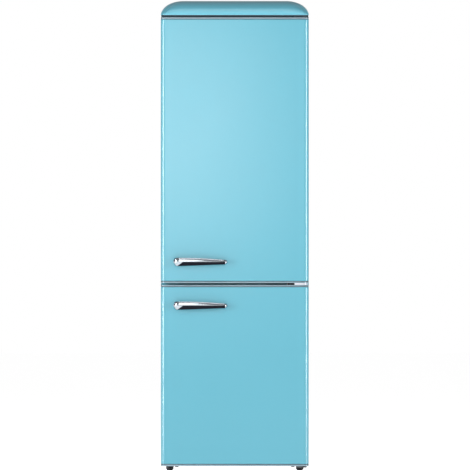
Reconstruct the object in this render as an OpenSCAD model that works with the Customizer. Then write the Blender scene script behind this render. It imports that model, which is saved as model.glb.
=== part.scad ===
// Retro two-door refrigerator with the freezer below.
// Millimetres. X runs to the right, the doors face -Y, Z is up, and the floor is Z = 0.
// The origin is the middle of the footprint, from the handles to the condenser.

/* [Overall] */
// Width over the cabinet sides and the doors
body_w = 600; // [500:1:720]
// Height from the floor to the crown of the top cover
body_h = 1915; // [1560:1:2300]
// Depth of the cabinet behind the doors
cabinet_d = 575; // [480:1:690]
// Height of the freezer door
lower_door_h = 735; // [610:1:885]

/* [Doors] */
// Thickness of a door, without its handle and seal
door_t = 62; // [52:1:75]
// Radius of a door's front vertical edges
door_edge_r = 18; // [10:1:22]
// Height of the metal strip along a door's top and bottom
trim_h = 9; // [7:0.5:12]
// Gap between the two doors
split_gap = 7; // [6:0.5:9]
// Seal thickness between a closed door and the cabinet
door_gap = 12; // [10:0.5:15]
// Width of the door seal
gasket_w = 20; // [16:1:24]
// Depth of the raised rim inside the upper door
rim_d = 22; // [18:1:26]
// Depth of the raised rim inside the freezer door
freezer_rim_d = 14; // [11:1:16]
// Width of a rim
rim_w = 14; // [11:1:17]
// Distance from a door's side to its hinge axis
hinge_inset = 20; // [17:0.5:24]
// Distance from a door's face to its hinge axis
hinge_back = 34; // [28:1:40]

/* [Handles] */
// Length of a handle
handle_l = 222; // [185:1:266]
// Height of a handle at its thick end
handle_h = 34; // [28:1:41]
// Height of a handle at its thin end
handle_tip_h = 14; // [11:1:17]
// How far a handle stands out from its door
handle_proj = 38; // [32:1:46]
// Thickness of a handle's bar
handle_t = 12; // [10:0.5:14]
// Distance from the door's free edge to the handle
handle_inset = 49; // [40:1:60]
// Distance from the door's end to the handle's middle
handle_offset = 85; // [70:1:102]

/* [Top cover] */
// Height of the domed top cover
cap_h = 64; // [53:1:77]
// Wall of the top cover
cap_t = 2.5; // [2:0.25:4]
// Width of its rounded shoulders
cap_shoulder = 90; // [60:1:110]
// Rise of the crown over the front shoulder
cap_crown = 5; // [3:0.5:8]
// Height of the dark carrier that it sits on
carrier_t = 6; // [5:0.5:8]
// Gap between the carrier and the upper door
carrier_gap = 3; // [2.5:0.5:5]

/* [Cabinet walls] */
// Sheet thickness of the outer shell and the door skins
shell_t = 1; // [0.8:0.1:1.2]
// Thickness of the inner liners
liner_t = 2; // [1.6:0.1:2.4]
// Side wall of the refrigerator compartment
fridge_wall = 48; // [40:1:57]
// Side wall of the freezer compartment
freezer_wall = 72; // [60:1:86]
// Rear wall of both compartments
rear_wall = 56; // [46:1:67]
// Roof wall
roof_wall = 52; // [44:1:62]
// Floor wall
floor_wall = 60; // [50:1:72]
// Wall between the compartments
divider_t = 62; // [60:1:74]

/* [Compressor niche] */
// Height of the niche
niche_h = 205; // [190:1:240]
// Depth of the niche
niche_d = 205; // [190:1:240]
// Radius of the compressor's housing
compressor_r = 78; // [65:1:85]
// Height of the compressor's housing
compressor_h = 140; // [117:1:150]

/* [Fittings] */
// Thickness of the glass shelves
glass_t = 4; // [3.5:0.5:5]
// Height of the crisper compartment
crisper_h = 190; // [160:1:225]
// Distance of the shelves behind the cabinet's front
shelf_setback = 115; // [112:1:135]
// Width of the ledges that the shelves lie on
ledge_w = 9; // [7:0.5:11]
// Wall of drawers and door bins
tub_t = 2.5; // [2:0.25:3]
// Depth of the door bins
bin_d = 103; // [86:1:104]

/* [Feet and rear] */
// Clearance under the lower door
door_clear = 22; // [19:1:26]
// Clearance under the cabinet
base_clear = 32; // [29:1:38]
// Top radius of a front foot
foot_r = 15.5; // [13:0.5:18]
// Radius of a foot's threaded stem
stem_r = 5; // [4:0.5:6]
// Radius of a rear roller
roller_r = 15; // [12.5:0.5:16]
// Space for the condenser behind the cabinet
condenser_d = 26; // [22:1:31]
// Radius of a hinge pin
pin_r = 4; // [3.5:0.25:5]

/* [Hidden] */
$fn = 48;

// Colours
paint = "#83cade";
steel = "#b9bec4";
chrome = "#dfe3e8";
black = "#1b1c20";
white = "#eef1f2";
foam_tint = "#e8dfb4";
copper = "#b5714a";
grey = "#8d9299";

// Fits
run_gap = 0.05;     // radial clearance of a pin that turns
seat_gap = 0.1;     // clearance of a fixed piece in its seat
free_gap = 1.5;     // clearance of a drawer, tray or shelf beside a wall
rim_gap = 12;       // clearance of a door's rim inside its opening
seal_gap = 0.3;     // a closed seal stops this short of the cabinet
past = 1;           // how far a cut runs past a face

// Places from front to back
total_d = handle_proj + door_t + door_gap + cabinet_d + condenser_d;
y_door = -total_d / 2 + handle_proj;
y_door_back = y_door + door_t;
y_front = y_door_back + door_gap;
y_rear = y_front + cabinet_d;
y_hinge = y_door + hinge_back;

// Places from side to side
half_w = body_w / 2;
x_hinge = half_w - hinge_inset;
fridge_x = half_w - fridge_wall;
freezer_x = half_w - freezer_wall;
gasket_x = half_w - hinge_inset - 4;

// Places from bottom to top
z_split = door_clear + lower_door_h;
z_upper_door = z_split + split_gap;
z_cap = body_h - cap_h;
z_cabinet = z_cap - carrier_t;
z_upper_top = z_cabinet - carrier_gap;
z_divider = z_split + split_gap / 2;
fridge_z0 = z_divider + divider_t / 2;
fridge_z1 = z_cabinet - roof_wall;
freezer_z0 = base_clear + floor_wall;
freezer_z1 = z_divider - divider_t / 2;

// The compartments and the niche behind the freezer's lower drawer
front_t = 1.5;
panel_t = 1.2;
lip_w = 6;
liner_r = 15;
y_inner = y_rear - rear_wall;
y_niche = y_rear - niche_d;
z_niche = base_clear + niche_h;
niche_wall = 50;
hump_y = y_niche - niche_wall;
hump_z = z_niche + niche_wall;

// ------------------------------------------------------------------ shared shapes

function arc(cx, cy, rx, ry, a0, a1, n) =
    [for (i = [0:n]) let (a = a0 + (a1 - a0) * i / n) [cx + rx * cos(a), cy + ry * sin(a)]];

// A rectangle with round corners, as a list of points
function rounded(x0, y0, x1, y1, r, n = 5) = concat(
    arc(x1 - r, y0 + r, r, r, -90, 0, n), arc(x1 - r, y1 - r, r, r, 0, 90, n),
    arc(x0 + r, y1 - r, r, r, 90, 180, n), arc(x0 + r, y0 + r, r, r, 180, 270, n));

module block(lo, hi) { translate(lo) cube(hi - lo); }

// Runs an outline drawn in X and Z from y0 to y1
module along_y(y0, y1) { translate([0, y1, 0]) rotate([90, 0, 0]) linear_extrude(y1 - y0) children(); }

// Runs an outline drawn in Y and Z from x0 to x1
module along_x(x0, x1) { translate([x0, 0, 0]) rotate([90, 0, 90]) linear_extrude(x1 - x0) children(); }

module from_z(z0, z1) { translate([0, 0, z0]) linear_extrude(z1 - z0) children(); }

module rod_z(x, y, z0, z1, r) { translate([x, y, z0]) cylinder(h = z1 - z0, r = r); }

module rod_y(x, z, y0, y1, r) { translate([x, y1, z]) rotate([90, 0, 0]) cylinder(h = y1 - y0, r = r); }

module rod_x(y, z, x0, x1, r) { translate([x0, y, z]) rotate([0, 90, 0]) cylinder(h = x1 - x0, r = r); }

// An open tray with round corners in X and Z, or with square ones at r = 0
module tray(x0, x1, y0, y1, z0, z1, r) {
    difference() {
        along_y(y0, y1) polygon(tray_outline(x0, x1, z0, z1, r));
        along_y(y0 + tub_t, y1 - tub_t)
            polygon(tray_outline(x0 + tub_t, x1 - tub_t, z0 + tub_t, z1 + past, max(r - tub_t, 1)));
    }
}

function tray_outline(x0, x1, z0, z1, r) =
    concat(arc(x1 - r, z0 + r, r, r, -90, 0, 5), [[x1, z1], [x0, z1]],
           arc(x0 + r, z0 + r, r, r, 180, 270, 5));

// ------------------------------------------------------------------ fasteners and stems

screw_r = 2.5;
screw_head_r = 5.5;
screw_head_t = 2.5;
top_head_t = 2;
screw_l = 14;
plate_t = 3.5;

// Half the height of the middle hinge's flange between the two door seals, and its length
flange_half = divider_t / 2 - gasket_w - 4.5;
flange_l = 68;
hinge_plate_w = 52;
top_hinge_l = 95;
bottom_flange_z = base_clear - plate_t;
bottom_leaf_z = door_clear - carrier_gap - plate_t;
foot_x = half_w - 36;
foot_y = y_front + 30;
bottom_flange_l = 66;

// Where each hinge is screwed down: three on top, two in the middle and two below
top_screws = [for (p = [[0, 30], [0, 62], [26, 46]]) [x_hinge - 32 + p[0], y_front + p[1]]];
middle_screws = [x_hinge - 60, x_hinge - 46];
bottom_screws = [for (s = [-1, 1]) [foot_x + s * 16, foot_y + 24]];

module hinge_screws() {
    color(steel) {
        for (p = top_screws) {
            rod_z(p[0], p[1], z_cabinet - screw_l, z_cabinet + plate_t, screw_r);
            rod_z(p[0], p[1], z_cabinet + plate_t, z_cabinet + plate_t + top_head_t, screw_head_r);
        }
        for (x = middle_screws) {
            rod_y(x, z_divider, y_front - plate_t, y_front + screw_l, screw_r);
            rod_y(x, z_divider, y_front - plate_t - screw_head_t, y_front - plate_t, screw_head_r);
        }
        for (p = bottom_screws) {
            rod_z(p[0], p[1], bottom_flange_z, base_clear + screw_l, screw_r);
            rod_z(p[0], p[1], bottom_flange_z - screw_head_t, bottom_flange_z, screw_head_r);
        }
    }
}

// Clearance holes for the screws, cut from each piece that they pass
module screw_holes() {
    r = screw_r + seat_gap;
    for (p = top_screws) rod_z(p[0], p[1], z_cabinet - screw_l - past, z_cabinet + plate_t + past, r);
    for (x = middle_screws) rod_y(x, z_divider, y_front - plate_t - past, y_front + screw_l + past, r);
    for (p = bottom_screws) rod_z(p[0], p[1], bottom_flange_z - past, base_clear + screw_l + past, r);
}

stem_top = base_clear + 34;

module stem_holes(gap) {
    for (s = [-1, 1]) rod_z(s * foot_x, foot_y, bottom_flange_z - past, stem_top + 2, stem_r + gap);
}

// ------------------------------------------------------------------ cabinet

module outer_shell() {
    color(paint) difference() {
        block([-half_w, y_front, base_clear], [half_w, y_rear, z_cabinet]);
        block([shell_t - half_w, y_front - past, base_clear - past],
              [half_w - shell_t, y_rear + past, z_cabinet - shell_t]);
        screw_holes();
    }
}

module compartment_outline(x, z0, z1, grow) {
    polygon(rounded(-x - grow, z0 - grow, x + grow, z1 + grow, liner_r + grow));
}

module front_frame() {
    color(paint) difference() {
        block([shell_t - half_w, y_front, base_clear + 2],
              [half_w - shell_t, y_front + front_t, z_cabinet - shell_t]);
        along_y(y_front - past, y_front + front_t + past) {
            compartment_outline(fridge_x, fridge_z0, fridge_z1, lip_w);
            compartment_outline(freezer_x, freezer_z0, freezer_z1, lip_w);
        }
        screw_holes();
    }
}

module fridge_space(grow, y0) {
    along_y(y0, y_inner + grow) compartment_outline(fridge_x, fridge_z0, fridge_z1, grow);
}

module freezer_space(grow, y0) {
    difference() {
        along_y(y0, y_inner + grow) compartment_outline(freezer_x, freezer_z0, freezer_z1, grow);
        block([-half_w, hump_y + grow, 0], [half_w, y_rear, hump_z - grow]);
    }
}

module cabinet_foam() {
    color(foam_tint) difference() {
        block([shell_t - half_w, y_front + front_t, base_clear + 2],
              [half_w - shell_t, y_rear - panel_t, z_cabinet - shell_t]);
        fridge_space(liner_t, y_front);
        freezer_space(liner_t, y_front);
        block([-half_w, y_niche - panel_t, 0], [half_w, y_rear, z_niche + panel_t]);
        screw_holes();
        stem_holes(2);
    }
}

module rear_panel() {
    color(grey) difference() {
        block([shell_t - half_w, y_rear - panel_t, z_niche + panel_t],
              [half_w - shell_t, y_rear, z_cabinet - shell_t]);
        for (p = bracket_places)
            rod_y(p[0], p[1], y_rear - 2 * panel_t, y_rear + past, screw_r + seat_gap);
    }
}

// Floor sheet, riser and roof of the compressor niche, bent from one sheet
module base_plate() {
    color(steel) difference() {
        union() {
            block([shell_t - half_w, y_front, base_clear], [half_w - shell_t, y_rear, base_clear + 2]);
            block([shell_t - half_w, y_niche - panel_t, base_clear + 2],
                  [half_w - shell_t, y_niche, z_niche + panel_t]);
            block([shell_t - half_w, y_niche, z_niche], [half_w - shell_t, y_rear, z_niche + panel_t]);
        }
        screw_holes();
        stem_holes(run_gap);
        for (p = grommet_places) rod_z(p[0], p[1], 0, base_clear + 2 + past, grommet_r);
        rod_z(gland_x, gland_y, 0, base_clear + 2 + past, gland_r);
    }
}

// Ledges in the refrigerator compartment: one under each shelf and spare ones between
shelf_pitch = (fridge_z1 - fridge_z0 - crisper_h) / 4;
shelf_z = [for (i = [0:3]) fridge_z0 + crisper_h + i * shelf_pitch];
ledge_z = concat(shelf_z, [for (i = [0:3]) shelf_z[i] + shelf_pitch / 2]);
ledge_h = 5;

module fridge_liner() {
    color(white) {
        difference() {
            union() {
                fridge_space(liner_t, y_front + front_t);
                along_y(y_front, y_front + front_t)
                    compartment_outline(fridge_x, fridge_z0, fridge_z1, lip_w);
            }
            fridge_space(0, y_front - past);
        }
        for (z = ledge_z) for (s = [-1, 1])
            block([s > 0 ? fridge_x - ledge_w : -fridge_x - past, y_front + shelf_setback, z - ledge_h],
                  [s > 0 ? fridge_x + past : ledge_w - fridge_x, y_inner - 20, z]);
    }
}

// The freezer's shelves lie on the hump and on ledges
freezer_pitch = (freezer_z1 - hump_z - glass_t) / 2;
freezer_shelf_z = [hump_z, hump_z + glass_t + freezer_pitch];

module freezer_liner() {
    color(white) {
        difference() {
            union() {
                freezer_space(liner_t, y_front + front_t);
                along_y(y_front, y_front + front_t)
                    compartment_outline(freezer_x, freezer_z0, freezer_z1, lip_w);
            }
            freezer_space(0, y_front - past);
        }
        for (z = freezer_shelf_z) for (s = [-1, 1])
            block([s > 0 ? freezer_x - ledge_w : -freezer_x - past, y_front + 50, z - ledge_h],
                  [s > 0 ? freezer_x + past : ledge_w - freezer_x, z == hump_z ? hump_y : y_inner, z]);
    }
}

// ------------------------------------------------------------------ top cover

cap_nose = 105;
cap_tail = 60;
cap_segments = 10;

// Shoulders to the left and right, in X and Z
function cap_front_view(inset) = concat(
    [[half_w - inset, z_cap], [half_w - inset, z_cap + 2]],
    arc(half_w - cap_shoulder, z_cap + 2, cap_shoulder - inset, cap_h - 2 - inset, 0, 90, cap_segments),
    arc(cap_shoulder - half_w, z_cap + 2, cap_shoulder - inset, cap_h - 2 - inset, 90, 180, cap_segments),
    [[inset - half_w, z_cap + 2], [inset - half_w, z_cap]]);

// The nose over the doors, the crown and the tail, in Y and Z
function cap_side_view(inset) = concat(
    [[y_door + inset, z_cap], [y_door + inset, z_cap + 2]],
    arc(y_door + cap_nose, z_cap + 2, cap_nose - inset, cap_h - cap_crown - 2 - inset, 180, 90,
        cap_segments),
    [[(y_door + y_rear) / 2, body_h - inset]],
    arc(y_rear - cap_tail, z_cap + 2, cap_tail - inset, cap_h - cap_crown - 2 - inset, 90, 0,
        cap_segments),
    [[y_rear - inset, z_cap + 2], [y_rear - inset, z_cap]]);

module cap_solid(inset) {
    intersection() {
        along_y(y_door + inset, y_rear - inset) polygon(cap_front_view(inset));
        along_x(inset - half_w, half_w - inset) polygon(cap_side_view(inset));
    }
}

module top_cap() {
    color(paint) difference() {
        cap_solid(0);
        translate([0, 0, -0.01]) cap_solid(cap_t);
    }
}

module cap_carrier() {
    edge = 2;
    color(black) difference() {
        block([edge - half_w, y_door + edge, z_cabinet], [half_w - edge, y_rear - edge, z_cap]);
        block([x_hinge - hinge_plate_w + 6, y_hinge - 18, z_cabinet - past],
              [half_w - edge - 3, y_front + top_hinge_l + 4, z_cap + past]);
        block([60 - half_w, y_front + 60, z_cabinet + 3], [half_w - 90, y_rear - 60, z_cap + past]);
    }
}

// ------------------------------------------------------------------ hinges

pin_l = 15;

module hinge_top() {
    color(steel) difference() {
        union() {
            from_z(z_cabinet, z_cabinet + plate_t) polygon(concat(
                arc(x_hinge, y_hinge, 12, 12, 180, 360, 10),
                [[x_hinge + 12, y_front + top_hinge_l],
                 [x_hinge - hinge_plate_w + 12, y_front + top_hinge_l],
                 [x_hinge - hinge_plate_w + 12, y_front]]));
            rod_z(x_hinge, y_hinge, z_upper_top - pin_l, z_cabinet + plate_t, pin_r);
        }
        screw_holes();
    }
}

// The leaf reaches forward between the doors, and its front edge shows in their gap
leaf_front = y_door + 5;
leaf_side = x_hinge - 38;
leaf_gap = 0.8;

module hinge_middle() {
    color(chrome) difference() {
        union() {
            block([x_hinge - flange_l, y_front - plate_t, z_divider - flange_half],
                  [half_w - 4, y_front, z_divider + flange_half]);
            from_z(z_split + leaf_gap, z_upper_door - leaf_gap) polygon(concat(
                [[leaf_side, y_front - 1], [leaf_side, leaf_front + 2], [leaf_side + 2, leaf_front]],
                arc(x_hinge + 2, leaf_front + 10, 10, 10, 270, 360, 6), [[x_hinge + 12, y_front - 1]]));
            rod_z(x_hinge, y_hinge, z_split - pin_l, z_upper_door + pin_l, pin_r);
        }
        screw_holes();
    }
}

// A dark cover beside the leaf hides its screws
module hinge_cover() {
    color(black) from_z(z_split + leaf_gap, z_upper_door - leaf_gap)
        polygon([[leaf_side, leaf_front + 2], [leaf_side, y_front - plate_t - screw_head_t - 0.5],
                 [x_hinge - flange_l + 2, y_front - plate_t - screw_head_t - 0.5],
                 [x_hinge - flange_l + 2, leaf_front + 5], [x_hinge - flange_l + 5, leaf_front + 2]]);
}

module hinge_bottom() {
    color(steel) difference() {
        union() {
            from_z(bottom_leaf_z, bottom_leaf_z + plate_t) polygon(concat(
                arc(x_hinge, y_hinge, 12, 12, 180, 360, 10),
                [[x_hinge + 12, y_front], [x_hinge - 30, y_front]]));
            block([x_hinge - 30, y_front - plate_t, bottom_leaf_z],
                  [x_hinge + 12, y_front, bottom_flange_z + plate_t]);
            block([foot_x - 26, y_front - 1, bottom_flange_z],
                  [foot_x + 28, y_front + bottom_flange_l, base_clear]);
            rod_z(x_hinge, y_hinge, bottom_leaf_z, door_clear + pin_l, pin_r);
        }
        screw_holes();
        stem_holes(run_gap);
    }
}

// ------------------------------------------------------------------ feet and rollers

roller_x = half_w - 60;
roller_y = y_rear - 45;
roller_w = 14;
axle_r = 3;
ear_t = 2;
ear_gap = 1;

module foot(side) {
    color(black) translate([side * foot_x, foot_y, 0]) {
        rotate_extrude() polygon([
            [0, 0], [11, 0], [12, 1], [12, 4], [9.5, 6], [12, 9], [foot_r, 16],
            [foot_r, door_clear - 2], [foot_r - 1, door_clear - 1], [0, door_clear - 1]]);
        cylinder(h = stem_top, r = stem_r);
    }
}

module roller(side) {
    color(black) difference() {
        rod_x(roller_y, roller_r, side * roller_x - roller_w / 2, side * roller_x + roller_w / 2, roller_r);
        rod_x(roller_y, roller_r, side * roller_x - roller_w, side * roller_x + roller_w, axle_r + run_gap);
        for (s = [-1, 1]) translate([side * roller_x + s * roller_w / 2, roller_y, roller_r])
            rotate([0, 90, 0]) difference() {
                cylinder(h = 3, r = roller_r - 4, center = true);
                cylinder(h = 4, r = axle_r + 3, center = true);
            }
    }
}

module roller_brackets() {
    outer = roller_w / 2 + ear_gap + ear_t;
    color(steel) for (side = [-1, 1]) difference() {
        union() for (s = [-1, 1]) block(
            [side * roller_x + (s > 0 ? outer - ear_t : -outer), roller_y - 12, roller_r - 7],
            [side * roller_x + (s > 0 ? outer : ear_t - outer), roller_y + 12, base_clear]);
        rod_x(roller_y, roller_r, side * roller_x - 20, side * roller_x + 20, axle_r + seat_gap);
    }
}

module roller_axles() {
    reach = roller_w / 2 + ear_gap + ear_t + 2;
    color(steel) for (side = [-1, 1]) {
        rod_x(roller_y, roller_r, side * roller_x - reach, side * roller_x + reach, axle_r);
        for (s = [-1, 1]) translate([side * roller_x + s * (reach - 0.75), roller_y, roller_r])
            rotate([0, 90, 0]) cylinder(h = 1.5, r = axle_r + 1.5, center = true);
    }
}

// ------------------------------------------------------------------ compressor and condenser

comp_x = 95;
comp_y = y_rear - niche_d / 2;
comp_z = base_clear + 16;
grommet_r = 7;
grommet_places = [for (sx = [-1, 1], sy = [-1, 1]) [comp_x + sx * 92, comp_y + sy * 55]];
gland_x = -170;
gland_y = y_rear - 40;
gland_r = 8;

module compressor() {
    color(black) {
        translate([comp_x, comp_y, comp_z]) rotate_extrude() polygon(concat(
            [[0, 0], [compressor_r - 25, 0]],
            arc(compressor_r - 22, 22, 22, 22, -90, 0, 6),
            [[compressor_r, compressor_h * 0.45], [compressor_r + 4, compressor_h * 0.45],
             [compressor_r + 4, compressor_h * 0.45 + 5], [compressor_r - 1, compressor_h * 0.45 + 5]],
            arc(compressor_r - 46, compressor_h - 45, 45, 45, 0, 90, 9),
            [[0, compressor_h]]));
        difference() {
            block([comp_x - 102, comp_y - 65, comp_z - 3], [comp_x + 102, comp_y + 65, comp_z + 0.5]);
            for (p = grommet_places) rod_z(p[0], p[1], comp_z - 9, comp_z + 9, grommet_r - 2);
        }
    }
}

module compressor_grommets() {
    color("#2a2a2c") for (p = grommet_places) {
        rod_z(p[0], p[1], base_clear + 2, comp_z - 3, grommet_r + 3);
        rod_z(p[0], p[1], base_clear - 2, base_clear + 3, grommet_r - seat_gap);
        rod_z(p[0], p[1], comp_z - 4, comp_z + 4, grommet_r - 2 - seat_gap);
    }
}

module relay_cover() {
    w = 60;
    x = comp_x - compressor_r - 40;
    color(black) difference() {
        block([x, comp_y - 32, comp_z + 22], [x + w, comp_y + 32, comp_z + 84]);
        block([x - past, comp_y - 12, comp_z + 34], [x + 3, comp_y + 12, comp_z + 72]);
        rod_z(comp_x, comp_y, comp_z, comp_z + compressor_h, compressor_r + 4);
    }
}

// A tube through a list of points, as short round stretches
module tube_run(points, r) {
    for (i = [0:len(points) - 2]) hull() {
        translate(points[i]) sphere(r = r, $fn = 10);
        translate(points[i + 1]) sphere(r = r, $fn = 10);
    }
}

function corner(p, q, s, n) =
    [for (i = [0:n]) let (t = i / n) p * (1 - t) * (1 - t) + q * 2 * t * (1 - t) + s * t * t];

tube_r = 2.4;
suction_r = 3;
coil_x = half_w - 70;
coil_y = y_rear + condenser_d / 2;
coil_z0 = z_niche + 110;
coil_z1 = z_cabinet - 70;
coil_rows = 2 * floor((coil_z1 - coil_z0) / 112) + 1;
coil_pitch = (coil_z1 - coil_z0) / (coil_rows - 1);

// Suction line, discharge line with its riser to the condenser's top, and the drier at its foot
module refrigerant_pipes() {
    low = comp_z + 30;
    // The two lines leave the housing beside each other, 20 mm from its middle
    side = comp_x + sqrt(compressor_r * compressor_r - 20 * 20) + suction_r;
    riser_x = coil_x + coil_pitch / 2 + 12;
    drier_x = -coil_x - 22;
    suction = concat([[side, comp_y - 20, low + 20]],
        corner([side + 10, comp_y - 20, low + 20], [side + 24, comp_y - 20, low + 20],
               [side + 24, comp_y - 20, low + 34], 4),
        [[side + 24, comp_y - 20, z_niche - suction_r - 0.2]]);
    discharge = concat([[side, comp_y + 20, low]],
        corner([riser_x - 20, comp_y + 20, low], [riser_x, comp_y + 20, low],
               [riser_x, comp_y + 40, low], 4),
        corner([riser_x, coil_y - 20, low], [riser_x, coil_y, low], [riser_x, coil_y, low + 20], 4),
        corner([riser_x, coil_y, coil_z1 - 20], [riser_x, coil_y, coil_z1],
               [riser_x - 20, coil_y, coil_z1], 4),
        [[coil_x + tube_r + 0.1, coil_y, coil_z1]]);
    drier = concat([[-coil_x - tube_r - 0.1, coil_y, coil_z0]],
        corner([drier_x + 18, coil_y, coil_z0], [drier_x, coil_y, coil_z0],
               [drier_x, coil_y, coil_z0 - 20], 4),
        [[drier_x, coil_y, low + 165]]);
    capillary = concat([[drier_x, coil_y, low + 95]],
        corner([drier_x, coil_y, low + 20], [drier_x, coil_y, low], [drier_x, coil_y - 20, low], 4),
        [[drier_x, y_niche + 2, low]]);
    color(copper) {
        tube_run(suction, suction_r);
        tube_run(discharge, tube_r);
        tube_run(drier, tube_r);
        tube_run(capillary, 1.5);
        rod_z(drier_x, coil_y, low + 90, low + 170, 8);
    }
}

// One serpentine tube, with its rows level and round bends at alternate ends
module condenser_coil() {
    color(black) {
        for (i = [0:coil_rows - 1])
            rod_x(coil_y, coil_z0 + i * coil_pitch, -coil_x, coil_x, tube_r);
        for (i = [0:coil_rows - 2])
            translate([(i % 2 == 0 ? 1 : -1) * coil_x, coil_y, coil_z0 + (i + 0.5) * coil_pitch])
                rotate([90, 0, 0]) rotate([0, 0, i % 2 == 0 ? -90 : 90])
                    rotate_extrude(angle = 180) translate([coil_pitch / 2, 0]) circle(r = tube_r);
    }
}

wire_t = 1.4;
wire_pitch = 12;

// Upright wires on both faces of the coil, welded to a strip at each end
module condenser_grid() {
    n = floor((coil_x - 20) / wire_pitch);
    z0 = coil_z0 - 20;
    z1 = coil_z1 + 20;
    color(black) for (y = [coil_y - tube_r - wire_t, coil_y + tube_r]) along_y(y, y + wire_t) {
        for (i = [-n:n]) translate([i * wire_pitch - wire_t / 2, z0]) square([wire_t, z1 - z0]);
        for (z = [z0, z1 - 4]) translate([-n * wire_pitch - wire_t / 2, z])
            square([2 * n * wire_pitch + wire_t, 4]);
    }
}

// Clips that hold the coil off the rear panel, at its outer bends
bracket_row = round((coil_rows - 1) / 6);
bracket_places = [for (s = [-1, 1], row = [bracket_row, coil_rows - 1 - bracket_row])
    [s * (coil_x - 9), coil_z0 + row * coil_pitch]];

module condenser_brackets() {
    color(black) for (p = bracket_places) difference() {
        union() {
            along_y(y_rear, y_rear + condenser_d)
                polygon(rounded(p[0] - 7, p[1] - 11, p[0] + 7, p[1] + 11, 3));
            rod_y(p[0], p[1], y_rear - panel_t, y_rear + 1, screw_r);
        }
        rod_x(coil_y, p[1], p[0] - 20, p[0] + 20, tube_r + seat_gap);
    }
}

tray_z = comp_z + compressor_h;

// Defrost water runs into this tray and dries off over the warm compressor
module drip_tray() {
    color(white) tray(comp_x - 85, comp_x + 70, comp_y - 60, comp_y + 60,
                      tray_z, z_niche - 8, 3);
}

module cord_gland() {
    color(black) difference() {
        union() {
            rod_z(gland_x, gland_y, base_clear - 4, base_clear + 8, gland_r - seat_gap);
            rod_z(gland_x, gland_y, base_clear + 2, base_clear + 8, gland_r + 3);
        }
        rod_z(gland_x, gland_y, base_clear - 5, base_clear + 9, 3.5);
    }
}

// ------------------------------------------------------------------ fittings of the compartments

control_w = 250;
control_d = 95;
control_h = 30;
control_y = y_front + 24;
control_z = fridge_z1 - control_h;
dial_r = 21;
dial_x = 70;
dial_y = control_y + 46;
plunger_r = 4;
plunger_x = -90;
plunger_z = fridge_z1 - rim_gap - rim_w / 2;
lens_x0 = -100;
lens_x1 = 30;

module control_housing() {
    color(white) difference() {
        along_x(-control_w / 2, control_w / 2) polygon(concat(
            [[control_y, fridge_z1], [control_y, control_z + 8]],
            arc(control_y + 8, control_z + 8, 8, 8, 180, 270, 4),
            [[control_y + control_d - 20, control_z], [control_y + control_d, fridge_z1 - 8],
             [control_y + control_d, fridge_z1]]));
        rod_z(dial_x, dial_y, control_z - past, control_z + 18, 4 + run_gap);
        block([lens_x0, control_y + 22, control_z - past], [lens_x1, control_y + 66, control_z + 14]);
        rod_y(plunger_x, plunger_z, control_y - past, control_y + 20, plunger_r + run_gap);
    }
}

module lamp_lens() {
    color("#fdf6df") block([lens_x0 + 0.3, control_y + 22.3, control_z - 2],
                           [lens_x1 - 0.3, control_y + 65.7, control_z + 14]);
}

module thermostat_dial() {
    color(white) {
        rod_z(dial_x, dial_y, control_z - 0.5, control_z + 15, 4);
        difference() {
            rod_z(dial_x, dial_y, control_z - 12, control_z - 0.5, dial_r);
            for (a = [0:20:340]) translate([dial_x, dial_y, control_z - 13]) rotate([0, 0, a])
                translate([dial_r + 0.6, 0, 0]) cylinder(h = 13, r = 1.6, $fn = 16);
        }
        block([dial_x - 2, dial_y - dial_r + 3, control_z - 15],
              [dial_x + 2, dial_y + dial_r - 3, control_z - 12]);
    }
}

// The closed door's rim holds the plunger in, and it comes out as the door opens
module light_plunger() {
    tip = y_door_back + rim_d + 0.4;
    color(white) {
        rod_y(plunger_x, plunger_z, tip, control_y + 12, plunger_r);
        rod_y(plunger_x, plunger_z, tip, tip + 2, plunger_r + 1.5);
    }
}

module glass_shelves() {
    color("#bfe0dd") for (z = shelf_z)
        block([free_gap - fridge_x, y_front + shelf_setback + 4, z],
              [fridge_x - free_gap, y_inner - 6, z + glass_t]);
}

// Front edging of each shelf, with a groove for the glass
module shelf_trims() {
    color(white) for (z = shelf_z) difference() {
        block([free_gap - fridge_x, y_front + shelf_setback, z],
              [fridge_x - free_gap, y_front + shelf_setback + 13, z + glass_t + 9]);
        block([-half_w, y_front + shelf_setback + 4, z - past],
              [half_w, y_front + shelf_setback + 14, z + glass_t + seat_gap]);
    }
}

module freezer_shelves() {
    color("#bfe0dd") for (z = freezer_shelf_z)
        block([free_gap - freezer_x, y_front + 52, z],
              [freezer_x - free_gap, y_inner - 4, z + glass_t]);
}

module crisper_drawer() {
    x = fridge_x - 8;
    y0 = y_front + shelf_setback;
    z0 = fridge_z0 + free_gap;
    z1 = fridge_z0 + crisper_h - ledge_h - 4;
    color("#d7e9ec") {
        tray(-x, x, y0 + 10, y_inner - 8, z0, z1 - 6, 20);
        along_y(y0 + 4, y0 + 10) polygon(rounded(-x, z0, x, z1, 16));
        along_x(-x + 40, x - 40)
            polygon([[y0, z1 - 30], [y0 + 4, z1 - 34], [y0 + 4, z1 - 2], [y0, z1 - 4]]);
    }
}

// The three freezer drawers fill the spaces under, between and over the shelves
drawer_x = freezer_x - 6;
drawer_z = [freezer_z0 + 4, freezer_shelf_z[0] + glass_t + 3, freezer_shelf_z[1] + glass_t + 3];
drawer_top = [freezer_shelf_z[0] - ledge_h - 4, freezer_shelf_z[1] - ledge_h - 4, freezer_z1 - 8];
drawer_end = [hump_y - 8, y_inner - 12, y_inner - 12];
drawer_y = y_front + 30;

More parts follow.
